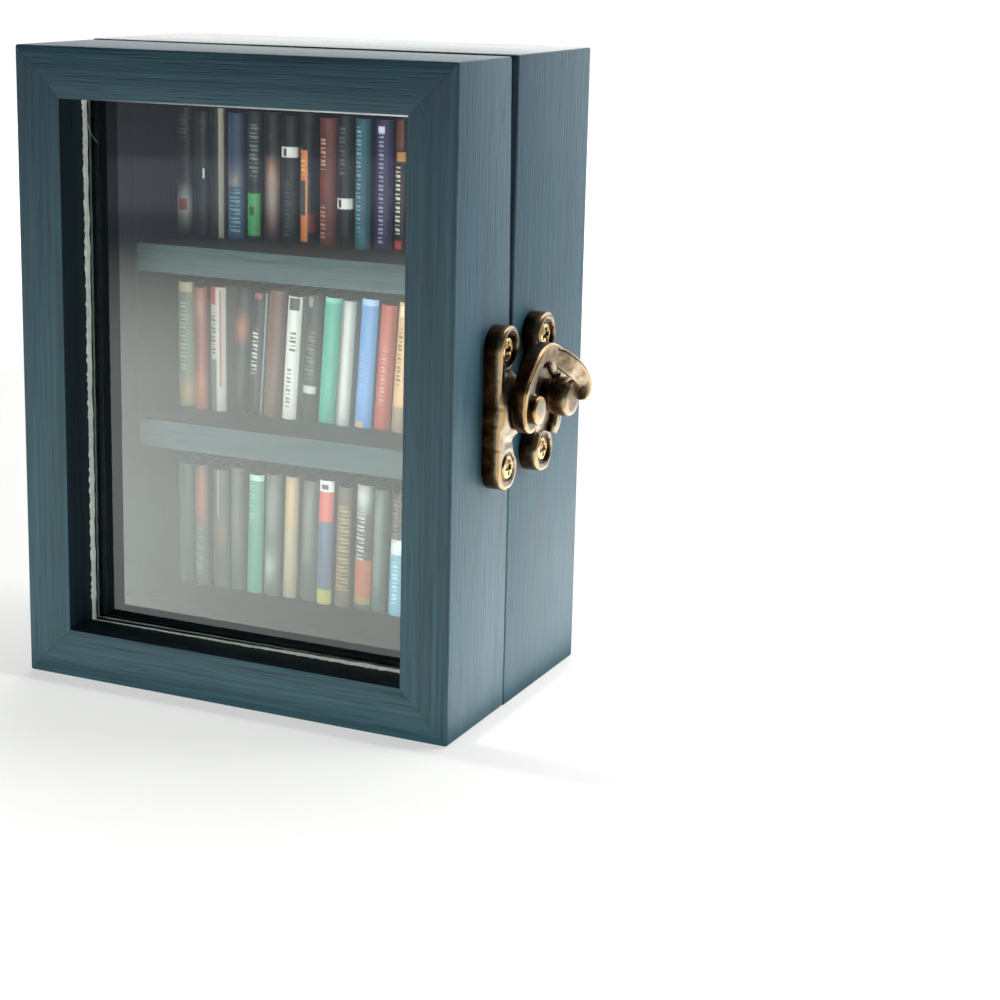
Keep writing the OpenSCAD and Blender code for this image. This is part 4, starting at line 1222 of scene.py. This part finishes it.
table_look = table_finish()
disc, ring = bmesh.new(), bmesh.new()
disc.faces.new(circle(disc, near_r))
outside, inside = circle(ring, far_r), circle(ring, near_r)
for k in range(ring_corners):
    ring.faces.new((outside[k - 1], outside[k], inside[k], inside[k - 1]))
staged("table", disc, table_look)
hide_from(staged("far_table", ring, table_look), "glossy", "diffuse", "transmission")
print("table out to", far_r, "m")

# %% [markdown]
# The light is soft studio light: a large box above and behind makes the tops glow, a broad one lights the
# latch side, and a weak one fills the front. A low strip stands for the light that the table throws up at
# the front. One more lamp lights only the books and what they stand on, since the frame of the door shades
# them too much.

# %% Lights
middle = (0, 0, 0.06)
behind_glass = [o for o in bpy.data.objects if o.name.endswith("_row_wraps")]
behind_glass += [frame["nodes"][n] for n in ("upper_shelf", "lower_shelf", "back_panel")]
# name, place, target, width, height, power in watts, colour
LAMPS = (("top_box", (0.1, 0.45, 0.95), middle, 0.9, 0.7, 12, (1, 1, 1)),
         ("side_box", (1.0, 0.55, 0.45), middle, 0.42, 0.42, 14, (0.97, 1.0, 0.97)),
         ("front_box", (-0.12, -1.15, 0.32), middle, 0.5, 0.25, 0.6, (1.0, 0.93, 1.1)),
         ("table_bounce", (0, -0.19, 0.012), (0, -0.05, 0.06), 0.35, 0.1, 0.42, (1.0, 1.0, 0.9)),
         ("book_box", (-0.1, -1.15, 0.06), middle, 0.5, 0.12, 14, (1, 1, 1)))
for name, place, target, width, height, power, colour in LAMPS:
    light = bpy.data.lights.new(name, "AREA")
    light.shape = "RECTANGLE"
    light.size, light.size_y = width, height
    light.energy, light.color = power, colour
    lamp = bpy.data.objects.new(name, light)
    lamp.location = place
    lamp.rotation_euler = (Vector(target) - Vector(place)).to_track_quat("-Z", "Y").to_euler()
    lamp.visible_glossy = name == "top_box"
    bpy.context.scene.collection.objects.link(lamp)
    if name == "book_box":
        lit = bpy.data.collections.new("book_box_lights")
        for each in behind_glass:
            lit.objects.link(each)
        lamp.light_linking.receiver_collection = lit
world = bpy.data.worlds.new("room")
bpy.context.scene.world = world
world.use_nodes = True
air = world.node_tree
seen = wire(air, "ShaderNodeLightPath", {}).outputs["Is Camera Ray"]
feed(air, air.nodes["Background"], {"Strength": ramp(air, seen, 0, 1, 0.05, 1.0),
                                    "Color": (0.97, 0.985, 1, 1)})
bpy.context.scene.view_settings.view_transform = "Standard"
print("lamps:", len(LAMPS))

# %% [markdown]
# Glass and metal look like what they reflect. Three cards that show only in reflections stand for the
# bright table in front, the table at the right and the wall behind. Each card's glow changes along one
# direction: the one in front fades, dips and rises again, which lays the pale haze and the darker bands
# over the pane.

# %% Reflection cards
cooler_from = 0.8


def shine(name, corners, along, reach, peak, stops, near=(1, 1, 1), far=(1, 1, 1)):
    """A card whose glow along one direction is set by (distance, strength) stops."""
    material, tree = bare(name)
    run = wire(tree, "ShaderNodeVectorMath", {0: object_space(tree), 1: [c / reach for c in along]},
               operation="DOT_PRODUCT").outputs["Value"]
    drift = times(tree, minus(tree, cloud(tree, (6, 1, 1), 1.0), 0.5), 0.03)
    steps = [(place / reach, [c * bright / peak for c in (near if place < cooler_from else far)] + [1])
             for place, bright in stops]
    light = wire(tree, "ShaderNodeEmission", {"Color": colour_ramp(tree, plus(tree, run, drift), steps),
                                              "Strength": peak})
    wire(tree, "ShaderNodeOutputMaterial", {"Surface": light.outputs[0]})
    bm = bmesh.new()
    bm.faces.new([bm.verts.new(c) for c in corners])
    hide_from(staged(name, bm, material), "camera", "diffuse", "transmission", "volume_scatter", "shadow")


low = 0.6 * MM


def flat_card(x0, x1, y0, y1):
    return [(x0, y0, low), (x1, y0, low), (x1, y1, low), (x0, y1, low)]


haze = ((0.0, 1.9), (0.11, 2.3), (0.20, 2.6), (0.42, 2.45), (0.56, 1.95), (0.70, 1.12), (0.79, 0.6),
        (0.85, 0.34), (0.93, 0.34), (1.02, 0.56), (1.30, 0.56), (1.36, 0.34), (2.1, 0.26))
shine("table_in_front", flat_card(-6.0, 1.2, -7.0, -0.05), (-0.62, -1, 0), 2.2, 4.0, haze,
      (0.95, 1.0, 0.95), (0.92, 1.0, 1.16))
shine("table_at_right", flat_card(0.052, 0.8, -0.04, 0.9), (0, 1, 0), 0.9, 4.6,
      ((0.0, 4.6), (0.10, 4.6), (0.26, 1.9), (0.89, 0.4)))
shine("wall_behind", [(-1.2, 1.2, 0.02), (1.2, 1.2, 0.02), (1.2, 1.2, 1.2), (-1.2, 1.2, 1.2)], (0, 0, 1),
      1.2, 3.0, ((0.0, 3.0), (0.5, 3.0), (1.19, 1.4)), (1.0, 1.0, 0.95))
print("reflection cards: 3")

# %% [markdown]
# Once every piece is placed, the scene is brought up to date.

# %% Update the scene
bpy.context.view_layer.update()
